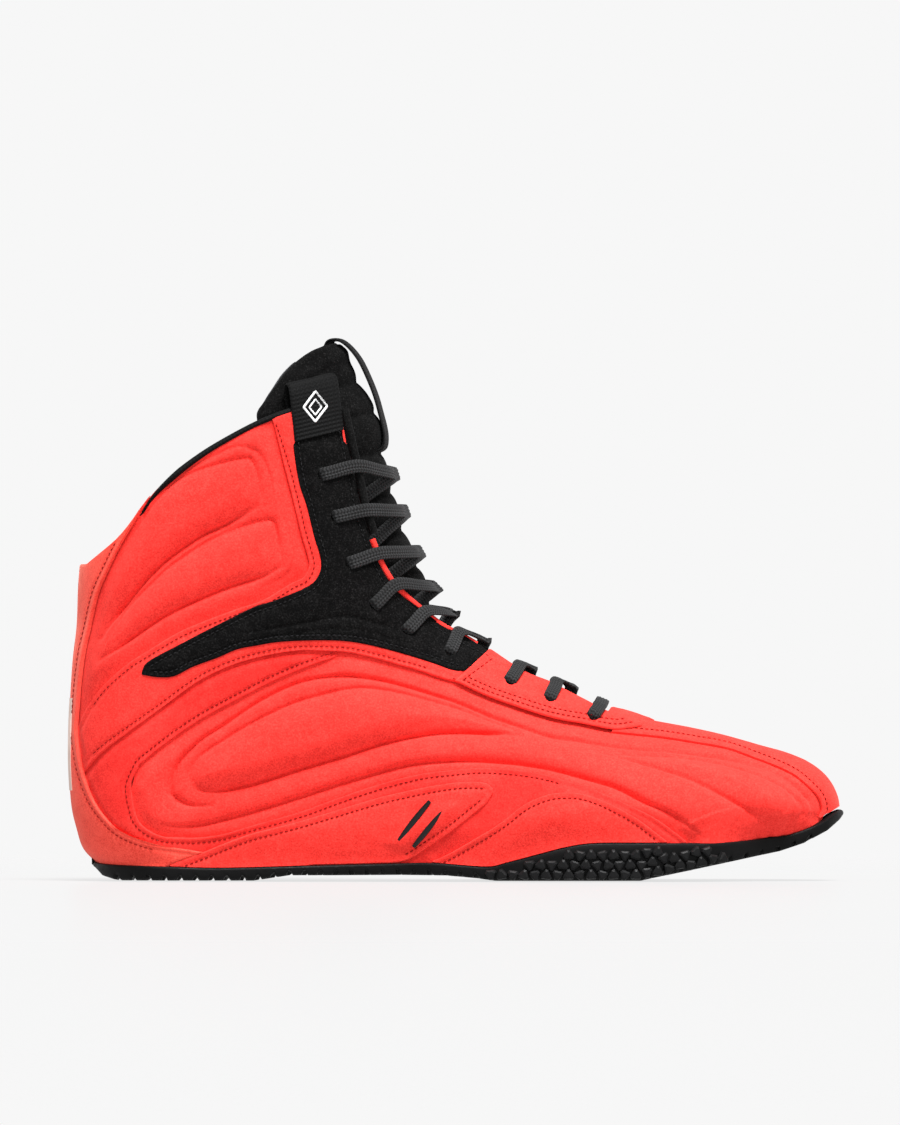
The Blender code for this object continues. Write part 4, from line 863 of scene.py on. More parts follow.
# Ankle pads: two moulded pads inside a puffed panel.
def build_ankle_pads():
    collar_low = shifted(smooth(COLLAR, 80), -0.2)
    collar_low[0] = (-142.0, 117.6)
    top = joined(heel_line(55, 117.0, 60), part_of(collar_low, 0.0, 0.76, 90))
    low = shifted(joined(part_of(ANKLE_SEAM, 0.0, 0.36, 60), part_of(ANKLE_SEAM, 0.36, 1.0, 90)), -UNDER)
    grid = grid_between(top, low, 140)
    flat = grid.reshape(-1, 2)
    seam = away(flat, SEAM_ANKLE)
    hem = away(flat, collar_low)
    heel = line_distance(flat, SEAM_HEEL)[0]
    puff = 2.2 * ease(seam, -0.5, 7) * ease(hem, -1, 7) * ease(-heel, -2, 9)
    relief = grooves(flat, (ANKLE_CREASE, 3.5, 3.4), (ANKLE_LOW_CREASE, 3.4, 3.2), (ANKLE_PAD_EDGE, 1.6, 2.1),
                     (ANKLE_LOW_EDGE, 1.6, 1.9), (ANKLE_OUTER, 1.0, 1.4), (ANKLE_LOW_OUTER, 0.9, 1.3))
    upper_pad = np.vstack([smooth(ANKLE_CREASE, 60), smooth(ANKLE_PAD_EDGE, 80)])
    lower_pad = np.vstack([smooth(ANKLE_LOW_CREASE, 60), smooth(ANKLE_LOW_EDGE, 80)])
    for loop in (upper_pad, lower_pad):
        relief += np.where(inside_of(flat, loop), 0.9 * ease(away(flat, loop), -0.5, 8), 0)
    relief *= ease(-heel, 0, 5)
    outer = np.maximum(-1.9 + puff + relief, -4.1)
    outer = capped(outer, flat, HEEL_ZONE, -1.45)
    for made in both_sides(("ankle_pad_cover", "ankle_pad"), grid, outer, -4.6, RED, "red_suede"):
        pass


# Ankle band: the smooth strip between the pads and the dark side band, with the throat edge.
def build_ankle_band():
    top = joined(part_of(ANKLE_SEAM, 0.0, 0.55, 110), part_of(ANKLE_SEAM, 0.55, 0.975, 90))
    low = joined(part_of(BAND_SEAM, 0.0, 0.99, 100),
                 smooth(((0.0, 76.0), (4.5, 75.4), (10.0, 79.5), (13.2, 84.6), (8.6, 88.6)), 22),
                 shifted(part_of(THROAT_UPPER, 0.04, 0.98, 79)[::-1], 0.9))
    grid = grid_between(top, low[:len(top)], 40)
    rise = np.maximum(read(COLLAR_LINE, grid[-1, :, 0]) - 1.3 - grid[-1, :, 1], 0)
    grid[..., 1] += rise * np.clip(1 - (grid[-1:, :, 1] - grid[..., 1]) / 14, 0, 1)
    flat = grid.reshape(-1, 2)
    upper_row = shifted(SEAM_ANKLE, -1.9)
    lower_row = shifted(SEAM_BAND, 1.6)
    edge = away(flat, border(grid))
    outer = -0.55 - lip(edge) + sunk(flat, upper_row, lower_row) + 0.25 * ease(edge, 1, 5)
    outer = capped(outer, flat, HEEL_ZONE, -1.2)
    covered = inside_of(flat, OVERLAY_LOOP) * ease(away(flat, OVERLAY_LOOP), 0.6, 1.4)
    covered = np.maximum(covered, inside_of(flat, EYESTAY_LOOP) * 1.0)
    outer = outer * (1 - covered) + np.minimum(outer, -1.35) * covered
    both_sides(("ankle_band_cover", "ankle_band"), grid, outer, -1.75, RED, "red_suede",
               (upper_row[12:-1], lower_row[12:150]), -0.45, holes=HOLES[:6], hole_radius=2.5)


# Side band: darker suede between the ankle band and the quilted panel, running under the heel and arch.
def build_side_band():
    out = joined(shifted(part_of(BAND_SEAM, 0.0, 0.79, 130)[::-1], -UNDER), heel_line(38, 8.5, 36),
                 above_feather(smooth(((-136, 5), (-100, 4), (-30, 5), (20, 6), (84, 13)), 190), -1.2))
    inn = joined(part_of(QUILT_LEFT_TOP, 0.0, 0.71, 130)[::-1],
                 smooth(((-119.5, 44), (-123, 37), (-122.5, 30)), 36), smooth(QUILT_LOW, 190))
    inn = above_feather(inn, -0.4)
    grid = grid_between(out, inn, 34)
    flat = grid.reshape(-1, 2)
    row = shifted(SEAM_QUILT, 1.9)
    edge = away(flat, SEAM_QUILT)
    seam = away(flat, SEAM_BAND)
    outer = -0.95 - lip(edge) + sunk(flat, row) - 0.95 * (1 - ease(seam, 0.2, 4.0)) + 0.2 * ease(edge, 1, 5)
    above = line_distance(flat, SEAM_BAND)[0] < 0
    outer = np.where(above, -1.9, outer)
    outer = capped(outer, flat, HEEL_ZONE, -1.2)
    both_sides(("side_band_cover", "side_band"), grid, outer, -3.0, DARK_RED, "dark_red_suede", (row[28:232],), -0.92)


# Quilted panel: one long soft pad, a toe pad, and the moulded lines that run round them.
def build_quilt():
    top = joined(smooth(QUILT_LEFT_TOP, 130), smooth(STRIPE_SEAM, 170))
    toe_edge = np.column_stack([np.linspace(88, 139.5, 80), read(FEATHER_TABLE, np.linspace(88, 139.5, 80)) - 1.0])
    low = joined(smooth(QUILT_LOW, 220), toe_edge)
    top = shifted(top, UNDER)
    low = shifted(low, -UNDER)
    low[-79:, 1] += UNDER
    grid = grid_between(top, low, 140)
    flat = grid.reshape(-1, 2)
    edge = away(flat, SEAM_QUILT)
    signed = line_distance(flat, SEAM_QUILT)[0]
    puff = 2.3 * ease(np.where((signed > 0) | (flat[:, 0] > 86), edge, 0), -0.3, 7)
    pad = joined(smooth(SIDE_PAD_TOP, 80), smooth(SIDE_CREASE, 90)[::-1])
    toe = joined(smooth(TOE_PAD_TOP, 60), smooth(((131.5, 20.5), (125, 18), (118, 20.5)), 8),
                 smooth(TOE_PAD_LOW, 60)[::-1])
    lift = np.zeros(len(flat))
    for loop, rise, reach in ((pad, 1.9, 9), (toe, 1.5, 8)):
        depth = away(flat, loop)
        lift += np.where(inside_of(flat, loop), rise * ease(depth, -1, reach), 0)
    relief = grooves(flat, (SIDE_CREASE, 3.8, 3.4), (QUILT_GROOVE, 2.6, 2.3), (LOWER_GROOVE, 2.9, 2.7),
                     (SIDE_PAD_TOP, 1.3, 1.8), (TOE_PAD_TOP, 1.4, 1.8), (TOE_PAD_LOW, 1.9, 2.5))
    toe_line = ease(flat[:, 1] - read(FEATHER_TABLE, flat[:, 0]), -3, 12)
    wrinkles = np.zeros(len(flat))
    for x, z, tall in ((104, 15.5, 7), (109, 16, 9), (114.5, 16.5, 7), (119.5, 17.5, 8), (124.5, 18.5, 6),
                       (129, 20, 5)):
        line = np.array(((x, z - 2), (x + 0.8, z + tall * 0.5), (x + 2.6, z + tall)))
        wrinkles -= 0.32 * np.exp(-(away(flat, line) / 0.9) ** 2)
    outer = np.maximum(-2.1 + wrinkles + puff + (lift + relief) * ease(edge, 0, 4) * toe_line, -4.6)
    for made in both_sides(("quilted_cover", "quilted_panel"), grid, outer, -5.0, RED, "red_suede"):
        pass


def build_overlay():
    rear = joined(part_of(OVERLAY_REAR, 0.0, 0.55, 110), part_of(OVERLAY_REAR, 0.55, 1.0, 90))
    low = joined(part_of(OVERLAY_LOW, 0.0, 0.52, 70), part_of(OVERLAY_LOW, 0.52, 1.0, 60),
                 smooth(OVERLAY_FRONT, 71))
    low = low[:len(rear)]
    grid = grid_between(rear, low, 44)
    flat = grid.reshape(-1, 2)
    edge_line = border(grid)
    edge = away(flat, edge_line)
    upper = shifted(part_of(OVERLAY_REAR, 0.03, 0.99, 120), -2.0)
    lower = shifted(part_of(OVERLAY_LOW, 0.03, 0.9, 110), 2.0)
    front = shifted(smooth(OVERLAY_FRONT, 110), 2.0)
    folds = grooves(flat, (OVERLAY_FOLD, 0.75, 2.2), (OVERLAY_FOLD_LOW, 0.45, 1.8))
    dimple = dimples(flat, HOLES[:6], 0.45, 3.6)
    outer = 0.3 - lip(edge, 0.5) + sunk(flat, upper, lower, front) + 0.4 * ease(edge, 1, 6) + folds + dimple
    outer -= 0.9 * ease(flat[:, 1], 164.0, 166.5)
    outer = capped(outer, flat, EYESTAY_LOOP, -0.7)
    both_sides(("black_overlay", "ankle_overlay"), grid, outer, -1.2, BLACK, "black_suede", holes=HOLES[:6],
               hole_radius=2.4)
    for side, _ in SIDES:
        for row in (upper, lower, front):
            GREY_STITCHES.append(stitches(row, side, 0.4, length=1.2, radius=0.17))


def build_patches():
    arch = grid_between(smooth(ARCH_TOP, 150), above_feather(smooth(ARCH_LOW, 150), -1.0), 40)
    arch_loop = smooth(ARCH_PAD + ARCH_PAD[:1], 90)
    top_row = shifted(smooth(ARCH_TOP, 150), -2.3)
    low_row = shifted(part_of(ARCH_LOW, 0.68, 0.97, 50), 2.3)
    flat = arch.reshape(-1, 2)
    edge = away(flat, joined(smooth(ARCH_TOP, 120), part_of(ARCH_LOW, 0.4, 1.0, 60)[::-1]))
    pad = np.where(inside_of(flat, arch_loop), 0.8 * ease(away(flat, arch_loop), -0.5, 4), 0)
    outer = 0.1 - lip(edge, 0.45) + sunk(flat, top_row, low_row) + 0.3 * ease(edge, 1, 6) + pad
    fore = grid_between(smooth(FOREFOOT_TOP, 120), above_feather(smooth(FOREFOOT_LOW, 120), -1.0), 40)
    fore_flat = fore.reshape(-1, 2)
    fore_row = shifted(smooth(FOREFOOT_TOP, 120), -2.1)
    fore_edge = away(fore_flat, smooth(FOREFOOT_TOP, 120))
    fore_outer = 0.1 - lip(fore_edge, 0.45) + sunk(fore_flat, fore_row) + 0.6 * ease(fore_edge, 1, 9)
    for side, word in SIDES:
        for stem, patch, level in (("arch_patch", arch, outer), ("forefoot_patch", fore, fore_outer)):
            panel(f"{stem}_cover_{word}", patch, side, level, -0.9, RED, replaced=(f"{stem}_{word}",), slot="red_suede")
    sew_red((top_row[6:-2], low_row, fore_row[4:-3]), 0.12)


def build_heel():
    top_end = ((-115.6, 146.2), (-118.6, 141.9), (-122.6, 134.8))
    low_end = ((-116.5, 14), (-106, 12.3), (-97, 10.9), (-88, 9), (-82, 4.5))
    side_line = smooth(top_end + HEEL_SEAM[1:15] + low_end, 170)
    back = heel_line(120.4, 4.2, 170)
    steps = edged_steps(side_line, back, 34, False)
    grid = ruled(side_line, back, steps)[:, ::-1]
    over = np.minimum(read(COLLAR_LINE, grid[0, :, 0]) - 0.6 - grid[0, :, 1], 0)
    grid[..., 1] += over * np.clip(1 - (grid[:1, :, 1] - grid[..., 1]) / 16, 0, 1)
    flat = grid.reshape(-1, 2)
    row = shifted(side_line, -1.6)
    row = row[row[:, 1] < read(COLLAR_LINE, row[:, 0]) - 1.6]
    edge = away(flat, np.vstack([grid[0], side_line]))
    outer = 0.1 - lip(edge, 0.45) + sunk(flat, row)
    outer = np.where(inside_of(flat, ARCH_LOOP), -1.0, outer)
    # The heel cover uses the lit copy of the red suede, whose paler colour is painted light.
    wrapped("heel_cover", grid, outer, -1.35, HEEL_RED_PAINTED_LIGHT, replaced=("heel_panel",), slot="red_suede")
    sew_red((row[1:-30],), 0.12)
    label_back = heel_line(69, 34, 40)
    label = ruled(label_back, label_back + (1.0, 0), np.broadcast_to(np.linspace(0, 1, 14) ** 2, (40, 14)))
    wrapped("heel_label_cover", label, 0.34, 0.0, LABEL_PAINT, replaced=("heel_label",), slot="grey_print")


def build_eyestay():
    throat = joined(smooth(EYESTAY_THROAT, 90), ridge(59.2, 60, 3))
    low = joined(smooth(EYESTAY_LOW[:-1], 90), ridge(73, 76, 3))
    grid = grid_between(throat, low, 22)
    grid[-1, :, 0] = 60 + (grid[-1, :, 0] - grid[-1, 0, 0]) / (grid[-1, -1, 0] - grid[-1, 0, 0]) * 16
    grid[-1] = ridge(60, 76, 400)[np.searchsorted(np.linspace(60, 76, 400), grid[-1, :, 0]).clip(0, 399)]
    keep = punched(grid, HOLES[6:], 2.4)
    flat = grid.reshape(-1, 2)
    rows = [shifted(smooth(EYESTAY_LOW, 120)[3:108], 1.5), shifted(smooth(EYESTAY_LOW, 120)[6:104], 3.2),
            np.array(((3.2, 75.9), (15.2, 84.6)))]
    edge_line = joined(grid[:, 0][::-1], grid[0], grid[:, -1])
    edge = away(flat, edge_line)
    dimple = dimples(flat, HOLES[6:], 0.4, 3.4)
    outer = 0.25 - lip(edge, 0.5) + sunk(flat, *rows) + 0.25 * ease(edge, 1, 5) + dimple
    rows_count, columns = grid.shape[:2]
    halves = []
    for offset in (outer, np.full(len(flat), -0.6)):
        first = skin(flat, -1, offset)[0].reshape(rows_count, columns, 3)
        second = skin(flat, 1, offset)[0].reshape(rows_count, columns, 3)
        middle = (first[-1:] + second[-1:]) / 2
        halves.append(np.concatenate([first[:-1], middle, second[-2::-1]], axis=0))
    full = np.concatenate([keep, keep[::-1]], axis=0)
    points = np.vstack([halves[0].reshape(-1, 3), halves[1].reshape(-1, 3)])
    faces = sheet_faces(2 * rows_count - 1, columns, full)
    points, faces, _ = used_only(points, faces)
    add_mesh("lower_eyestay_cover", points, faces, RED, replaced=("lower_eyestay",), slot="red_suede")
    sew_red(rows, 0.3)


def build_toe_stripe():
    top = joined(ridge(69, 133.5, 100), smooth(TOE_TIP, 40))
    side_line = smooth(STRIPE_SEAM[5:], 139)
    steps = edged_steps(side_line, top, 40, False)
    grid = ruled(side_line, top, np.sin(steps * math.pi / 2))[:, ::-1]
    flat = grid.reshape(-1, 2)
    edge = away(flat, smooth(STRIPE_SEAM[5:], 120))
    row = shifted(side_line, 1.8)
    outer = -0.75 - lip(edge, 0.45) + sunk(flat, row) + 0.2 * ease(edge, 1, 5)
    wrapped("toe_stripe_cover", grid, outer, -1.9, RED, replaced=("toe_stripe",), slot="red_suede")
    sew_red((row[3:-3],), -0.75)


def build_linings():
    collar_low = shifted(smooth(COLLAR, 80), -1.6)
    collar_low[0] = (-142.0, 117.6)
    top = joined(part_of(collar_low, 0.0, 0.99, 110), shifted(part_of(THROAT_UPPER, 0.05, 1.0, 80), -2.0),
                 shifted(part_of(EYESTAY_THROAT, 0.1, 0.93, 50), -1.8))
    floor = smooth(((-137.6, 8.6), (-130, 5.4), (-120, 4.6), (-60, 6.4), (0, 6.6), (43, 4.5)), len(top), 1.25)
    grid = grid_between(top, floor, 60)
    flat = grid.reshape(-1, 2)
    hem = away(flat, smooth(COLLAR, 80))
    throat = away(flat, EDGE_LINE)
    inner = -6.5 - 1.4 * ease(hem, 1, 9) * (1 - ease(hem, 14, 40)) * ease(throat, 22, 34)
    both_sides(("quarter_lining_cover", "quarter_lining"), grid, -5.2, inner, LINING_PAINT, "black_lining_mesh",
               holes=HOLES, hole_radius=2.6)
    vamp_top = joined(ridge(61, 133.5, 70), smooth(TOE_TIP, 26))
    vamp_low = smooth(((47, 4.6), (75, 5.6), (104, 11.6), (123, 16), (134, 20), (140, 25.0)), 95)
    steps = np.broadcast_to(1 - np.cos(np.linspace(0, 1, 34) * math.pi / 2), (95, 34))
    wrapped("vamp_lining_cover", ruled(vamp_top, vamp_low, steps), -6.6, -7.6, LINING_PAINT,
            replaced=("vamp_lining",), slot="black_lining_mesh")


TONGUE_DEEP = -9.2
TONGUE_HIGH = -2.9
TONGUE_TOP = -1.0
RIBS = (
    (-36.7, 189.8), (-29.5, 177.7), (-24.1, 162.5), (-21, 148), (-16.8, 134), (-11, 120.5), (-3.6, 106), (9, 92.5),
    (25, 82.2), (42, 74.8))


def tongue_base(points):
    """The tongue's offset from the skin: deep behind the throat's edges, high between them, highest at its top."""
    outside = -line_distance(points, GUARD_LINE)[0]
    free = TONGUE_HIGH + (TONGUE_TOP - TONGUE_HIGH) * ease(points[:, 1], 162, 176)
    return TONGUE_DEEP + (free - TONGUE_DEEP) * ease(outside, 1.5, 14)


def build_tongue():
    front = smooth(TONGUE_FRONT, 230)
    rear = smooth(TONGUE_REAR, 230)
    steps = edged_steps(rear, front, 46, False)
    grid = ruled(rear, front, np.sin(steps * math.pi / 2))[:, ::-1]
    flat = grid.reshape(-1, 2)
    base = tongue_base(flat)
    edge = away(flat, joined(rear[::-1], front[:3]))
    edge = np.minimum(edge, 1.4 * np.linalg.norm(flat - np.array((-45.5, 206.0)), axis=1))
    shore = lip(edge, 2.0)
    from_front = away(flat, front)
    ribs = np.zeros(len(flat))
    for x, z in RIBS:
        line = np.array(((x + 4, z + 1.0), (x - 5, z - 0.6), (x - 16, z + 0.4), (x - 30, z + 6)))
        far = away(flat, smooth(line, 24))
        ribs -= 1.7 * np.exp(-(np.sqrt(far**2 + 0.09) - 0.3) / 2.6) * (1 - ease(from_front, 6, 20))
    roll = 0.9 * np.exp(-((edge - 4.5) / 2.6) ** 2) * ease(flat[:, 1], 165, 180) + 1.3 * ease(flat[:, 1], 187, 197)
    outer = base + 0.5 + ribs + roll - shore
    inner = base - 4.0 + shore
    made = wrapped("tongue_cover", grid, outer, inner, TONGUE_PAINT, body="tongue_body", replaced=("tongue",),
                   slot="black_neoprene")
    middle = ruled(rear[8:-8], front[8:-8], np.sin(steps[8:-8] * math.pi / 2))[:, ::-1]
    base = tongue_base(middle.reshape(-1, 2)) - 5.1
    wrapped("tongue_lining_cover", middle, base + 0.6, base - 0.9, LINING_PAINT, body="tongue_body",
            replaced=("tongue_lining",), slot="black_lining_mesh")


def band_profile(width, thick, ridges=0, depth=0.0, count=14):
    """A flat band's rounded section, with long ridges if wanted."""
    t = np.linspace(-1, 1, count)
    rise = np.maximum(1 - np.abs(t) ** 7, 0) ** 0.5 * thick / 2
    wave = depth * np.cos(math.pi * t * ridges) * (1 - np.abs(t) ** 6) if ridges else 0 * t
    upper = np.column_stack([t * width / 2, rise + wave])
    lower = np.column_stack([t[::-1] * width / 2, -(rise + wave)[::-1]])
    return np.vstack([upper, lower[1:-1]])


def round_profile(wide, high, count=16):
    turn = np.linspace(0, math.tau, count, endpoint=False)
    return np.column_stack([np.cos(turn) * wide / 2, np.sin(turn) * high / 2])


def build_strap():
    line = smooth(STRAP_SIDE, 110)
    points = np.column_stack([line[:, 0], centre(line[:, 0]), line[:, 1]])
    tilt = np.tile((0.09, 1, 0), (110, 1))
    base = band_profile(16.5, 1.2, 5, 0.05, 34)
    spots, faces, weave = sweep(points, tilt, base)
    add_mesh("tongue_strap_webbing", spots, faces, WEBBING_PAINT, body="tongue_body", replaced=("tongue_strap",),
             slot="black_webbing", weave=weave, sharp=70)


def build_trims():
    line = shifted(smooth(COLLAR, 170), -1.1)
    line[0] = (-139.6, 119.6)
    shown = ease(line[:, 0], -119, -104)
    depth = -3.6 + 0.6 * shown
    first, first_out = skin(line, -1, depth)
    second, second_out = skin(line, 1, depth)
    points = np.vstack([first[:0:-1], (first[:1] + second[:1]) / 2, second[1:]])
    out = np.vstack([first_out[:0:-1], [(-1, 0, 0)], second_out[1:]])
    size = 0.62 + 0.38 * np.concatenate([shown[:0:-1], shown])
    rows = even(np.column_stack([points, out, size]), 1.2)
    tube = round_profile(4.8, 2.4, 20)[None] * rows[:, 6][:, None, None]
    spots, faces, weave = sweep(rows[:, :3], rows[:, 3:6], tube)
    add_mesh("collar_edge_binding", spots, faces, WEBBING_PAINT, replaced=("collar_binding",), slot="black_webbing",
             weave=weave, sharp=80)
    for side, word in SIDES:
        pipe, out = skin(smooth(PIPING, 60), side, -0.2)
        spots, faces, weave = sweep(pipe, out, round_profile(3.4, 3.2, 14))
        add_mesh(f"throat_piping_{word}", spots, faces, TONGUE_PAINT, replaced=(f"eyestay_piping_{word}",),
                 slot="black_webbing", weave=weave, sharp=80)
        strip, out = skin(smooth(FACING, 90), side, -0.6)
        spots, faces, weave = sweep(strip, out, round_profile(2.2, 2.4, 12))
        add_mesh(f"throat_facing_{word}", spots, faces, RED, replaced=(f"facing_strip_{word}",), slot="red_suede",
                 weave=weave, sharp=80)


TAB_WIDTH = 19.0
TAB_OUTER = -0.3
TAB_INNER = -7.8
TAB_BASE = np.array((-51.4, 170.0))
TAB_ACROSS = np.array((0.97, 0.24))
TAB_RISE = np.array((-0.11, 0.99))


def build_tabs():
    middle = (TAB_OUTER + TAB_INNER) / 2
    reach = (TAB_OUTER - TAB_INNER) / 2
    route = [(TAB_OUTER + 0.3, -1.5), (TAB_OUTER + 0.3, 4), (TAB_OUTER + 0.3, 10), (TAB_OUTER + 0.2, 16)]
    for turn in range(0, 181, 20):
        route.append((middle + reach * math.cos(math.radians(turn)), 17.5 + reach * math.sin(math.radians(turn))))
    route += [(TAB_INNER, 12.0), (TAB_INNER, 6.0), (TAB_INNER, 3.0)]
    route = smooth(route, 260)
    along = lengths(route)
    turned = unit(np.gradient(route, axis=0))
    bulge = np.column_stack([turned[:, 1], -turned[:, 0]])
    shares = np.linspace(-0.5, 0.5, 44)
    ribs = 0.09 * np.sin(along / 1.55 * math.tau)
    for side, word in SIDES:
        layers = []
        for half, sign in ((0.6, 1), (-0.6, -1)):
            columns = []
            for share in shares:
                thin = (1 - abs(2 * share) ** 10) ** 0.5 if abs(share) < 0.5 else 0.15
                wave = 0.05 * math.cos(share * math.tau * 9)
                sheet = route + bulge * (half * thin + sign * (ribs + wave))[:, None]
                flat = TAB_BASE + TAB_WIDTH * share * TAB_ACROSS + sheet[:, 1:] * TAB_RISE
                columns.append(skin(flat, side, sheet[:, 0])[0])
            layers.append(np.stack(columns, axis=1))
        points = np.vstack([layers[0].reshape(-1, 3), layers[1].reshape(-1, 3)])
        place = np.stack(np.broadcast_arrays((shares * TAB_WIDTH)[None, :], along[:, None]), axis=-1).reshape(-1, 2)
        faces = sheet_faces(len(route), len(shares))
        add_mesh(f"pull_tab_webbing_{word}", points, faces, WEBBING_PAINT, replaced=(f"pull_tab_{word}",),
                 slot="black_webbing", weave=np.vstack([place, place]), sharp=75)


def add_marks(name, parts, paint, node):
    """Raised printed lines on the lateral side, each given as a side-view line, a width, a height and its taper."""
    solids = []
    for line, offset, width, thick, count, taper in parts:
        points, out = skin(line, -1, offset)
        across = np.cross(np.gradient(points, axis=0), out)
        profile = round_profile(width, thick, count)[None] * np.broadcast_to(taper, len(line))[:, None, None]
        spots, faces, _ = sweep(points, across, profile)
        solids.append((spots, [face if len(face) == 4 else (*face, face[2]) for face in faces]))
    spots, faces = gathered(solids)
    faces = [tuple(dict.fromkeys(face)) for face in faces.tolist()]
    add_mesh(name, spots, faces, paint, replaced=(node,), slot="grey_print", sharp=80)


def build_marks():
    tab_centre = np.array((-53.0, 179.0))
    diamonds = []
    for reach, width in ((1.0, 0.9), (0.52, 0.7)):
        corners = tab_centre + np.array(((0, 6.2), (4.4, 0.6), (0, -5.2), (-4.4, 0.2))) * reach
        diamonds.append((even(np.vstack([corners, corners[:2]]), 0.35), 0.78, width, 0.5, 10, 1.0))
    add_marks("tab_emblem", diamonds, WHITE_PRINT, "tab_mark")
    bars = []
    for ends in (((-21.0, 15.5), (-9.2, 30.2)), ((-15.4, 13.0), (-4.6, 26.4))):
        line = even(np.array(ends), 0.5)
        taper = 0.55 + 0.45 * np.sin(np.linspace(0.15, math.pi - 0.15, len(line)))
        bars.append((line, 0.9, 2.3, 1.0, 12, taper))
    add_marks("side_emblem", bars, BLACK_PRINT, "side_mark")


# Laces.
LACE_OVER = 1.25
LACE_EDGE = 1.9
LACE_UNDER = -7.9
FRONT_PART = FRONT_LINE[FRONT_LINE[:, 0] < 75]


def nearest_on(line, point):
    gap = np.linalg.norm(line - np.asarray(point), axis=1)
    return line[gap.argmin()]


edge_spots = np.array([nearest_on(EDGE_LINE, hole) for hole in HOLES])
ridge_spots = np.array([nearest_on(FRONT_PART, hole) for hole in HOLES])
row_ways = unit(np.gradient(HOLES, axis=0))


def placed(spot, side, offset):
    return skin(np.array((spot,)), side, offset)[0][0]


def row_way(row, side):
    ahead = skin(np.array((HOLES[row] + row_ways[row], HOLES[row] - row_ways[row])), side, 0.0)[0]
    return unit(ahead[0] - ahead[1])


def into_hole(row, side):
    """From over the panel's edge, down through the eyelet, and out under the edge again."""
    toward = unit(edge_spots[row] - HOLES[row])
    rise = row_ways[row] if row_ways[row][1] > 0 else -row_ways[row]
    way = row_way(row, side)
    steps = [(toward * 3.2, LACE_OVER + 0.1), (toward * 1.0, LACE_OVER + 0.1), (toward * -0.6, LACE_OVER - 0.2),
             (toward * -1.1, -0.6), (toward * -0.9, -3.0), (toward * -0.2, LACE_UNDER + 2.2),
             (toward * 1.4, LACE_UNDER + 0.4), (toward * 4.0 + rise * 0.8, LACE_UNDER)]
    return [(placed(HOLES[row] + step, side, offset), way) for step, offset in steps]


def tongue_height(spot):
    outside = -line_distance(np.array((spot,)), GUARD_LINE)[0][0]
    return TONGUE_DEEP + (TONGUE_HIGH - TONGUE_DEEP) * float(ease(outside, 1.5, 14))


def crossing(row, side, next_row, level):
    """From under the panel's edge at one row, up over the tongue, and over the other edge at the next row."""
    climb = edge_spots[next_row] - edge_spots[row]
    middle = ridge_spots[next_row] + (ridge_spots[row] - ridge_spots[next_row]) * 0.34
    leave = edge_spots[row] + climb * 0.16
    way_a = row_way(row, side)
    way_b = row_way(next_row, -side)
    made = []
    for turn in (0.0, 0.3, 0.6, 0.82):
        spot = leave + (middle - leave) * (1 - (1 - turn) ** 2)
        resting = tongue_height(spot) + 1.9
        made.append((placed(spot, side, resting * (1 - turn**2) + level * turn**2), way_a))
    made.append((placed(middle, side, level), way_a + way_b))
    for turn in (0.82, 0.6, 0.3, 0.0):
        spot = edge_spots[next_row] + (middle - edge_spots[next_row]) * (1 - (1 - turn) ** 2)
        made.append((placed(spot, -side, LACE_EDGE + (level - LACE_EDGE) * turn), way_b))
    return made


def strand(side, levels):
    """One half of the lace, from the lowest bar up to its tip, tucked inside beside the top eyelet."""
    on = side
    made = into_hole(8, on)
    for row in range(8, 0, -1):
        made += crossing(row, on, row - 1, levels[(8 - row) % 2])
        on = -on
        made += into_hole(row - 1, on)
    way = row_way(0, on)
    for spot in ((-40.5, 160.5), (-38.6, 164.6), (-41.0, 166.2), (-44.5, 166.0), (-51.5, 166.0), (-54.5, 166.0)):
        made.append((placed(spot, on, LACE_UNDER - 0.35), way))
    return made


def build_lace():
    first = strand(-1, (0.3, -1.0))
    second = strand(1, (-1.0, 0.3))
    bar = []
    for share in (0.0, 0.3, 0.7, 1.0):
        spot = edge_spots[8] * (1 - share) + ridge_spots[8] * share
        bar.append((placed(spot, -1, LACE_OVER - 0.2 * share), row_way(8, -1)))
    for share in (0.7, 0.3, 0.0):
        spot = edge_spots[8] * (1 - share) + ridge_spots[8] * share
        bar.append((placed(spot, 1, LACE_OVER - 0.2 * share), row_way(8, 1)))
    whole = first[::-1] + bar + second
    fine = catmull(np.array([np.concatenate([point, unit(way)]) for point, way in whole]), 9)
    kernel = np.array((1, 4, 6, 4, 1)) / 16
    for _ in range(3):
        ends = np.pad(fine, ((2, 2), (0, 0)), mode="edge")
        fine = np.stack([np.convolve(ends[:, k], kernel, "valid") for k in range(6)], axis=1)
    fine = even(fine, 0.55)
    spots, faces, weave = sweep(fine[:, :3], fine[:, 3:], band_profile(5.1, 1.0, 4, 0.11, 24))
    add_mesh("flat_lace", spots, faces, LACE_PAINT, replaced=("lace",), slot="black_lace", weave=weave, sharp=80)


# Sole.
SOLE_FLOOR = 3.5
TREAD_DEPTH = 1.8
STUDDED = (14, 101)
STUD_STEP = 4.2
STUD_FIRST = 2.3
STUD_RISE = 3.7
STUD_SIZE = 2.45
STUD_MARGIN = 2.2
UNDER_STUD_SIZE = 2.9


def sole_edges(x):
    """The skin's lateral and medial points at the sole's rim, for each X."""
    found = []
    for side in (-1, 1):
        points = np.column_stack([x, read(FEATHER_TABLE, x) + 0.3])
        found.append(skin(points, side)[0][:, :2])
    return found


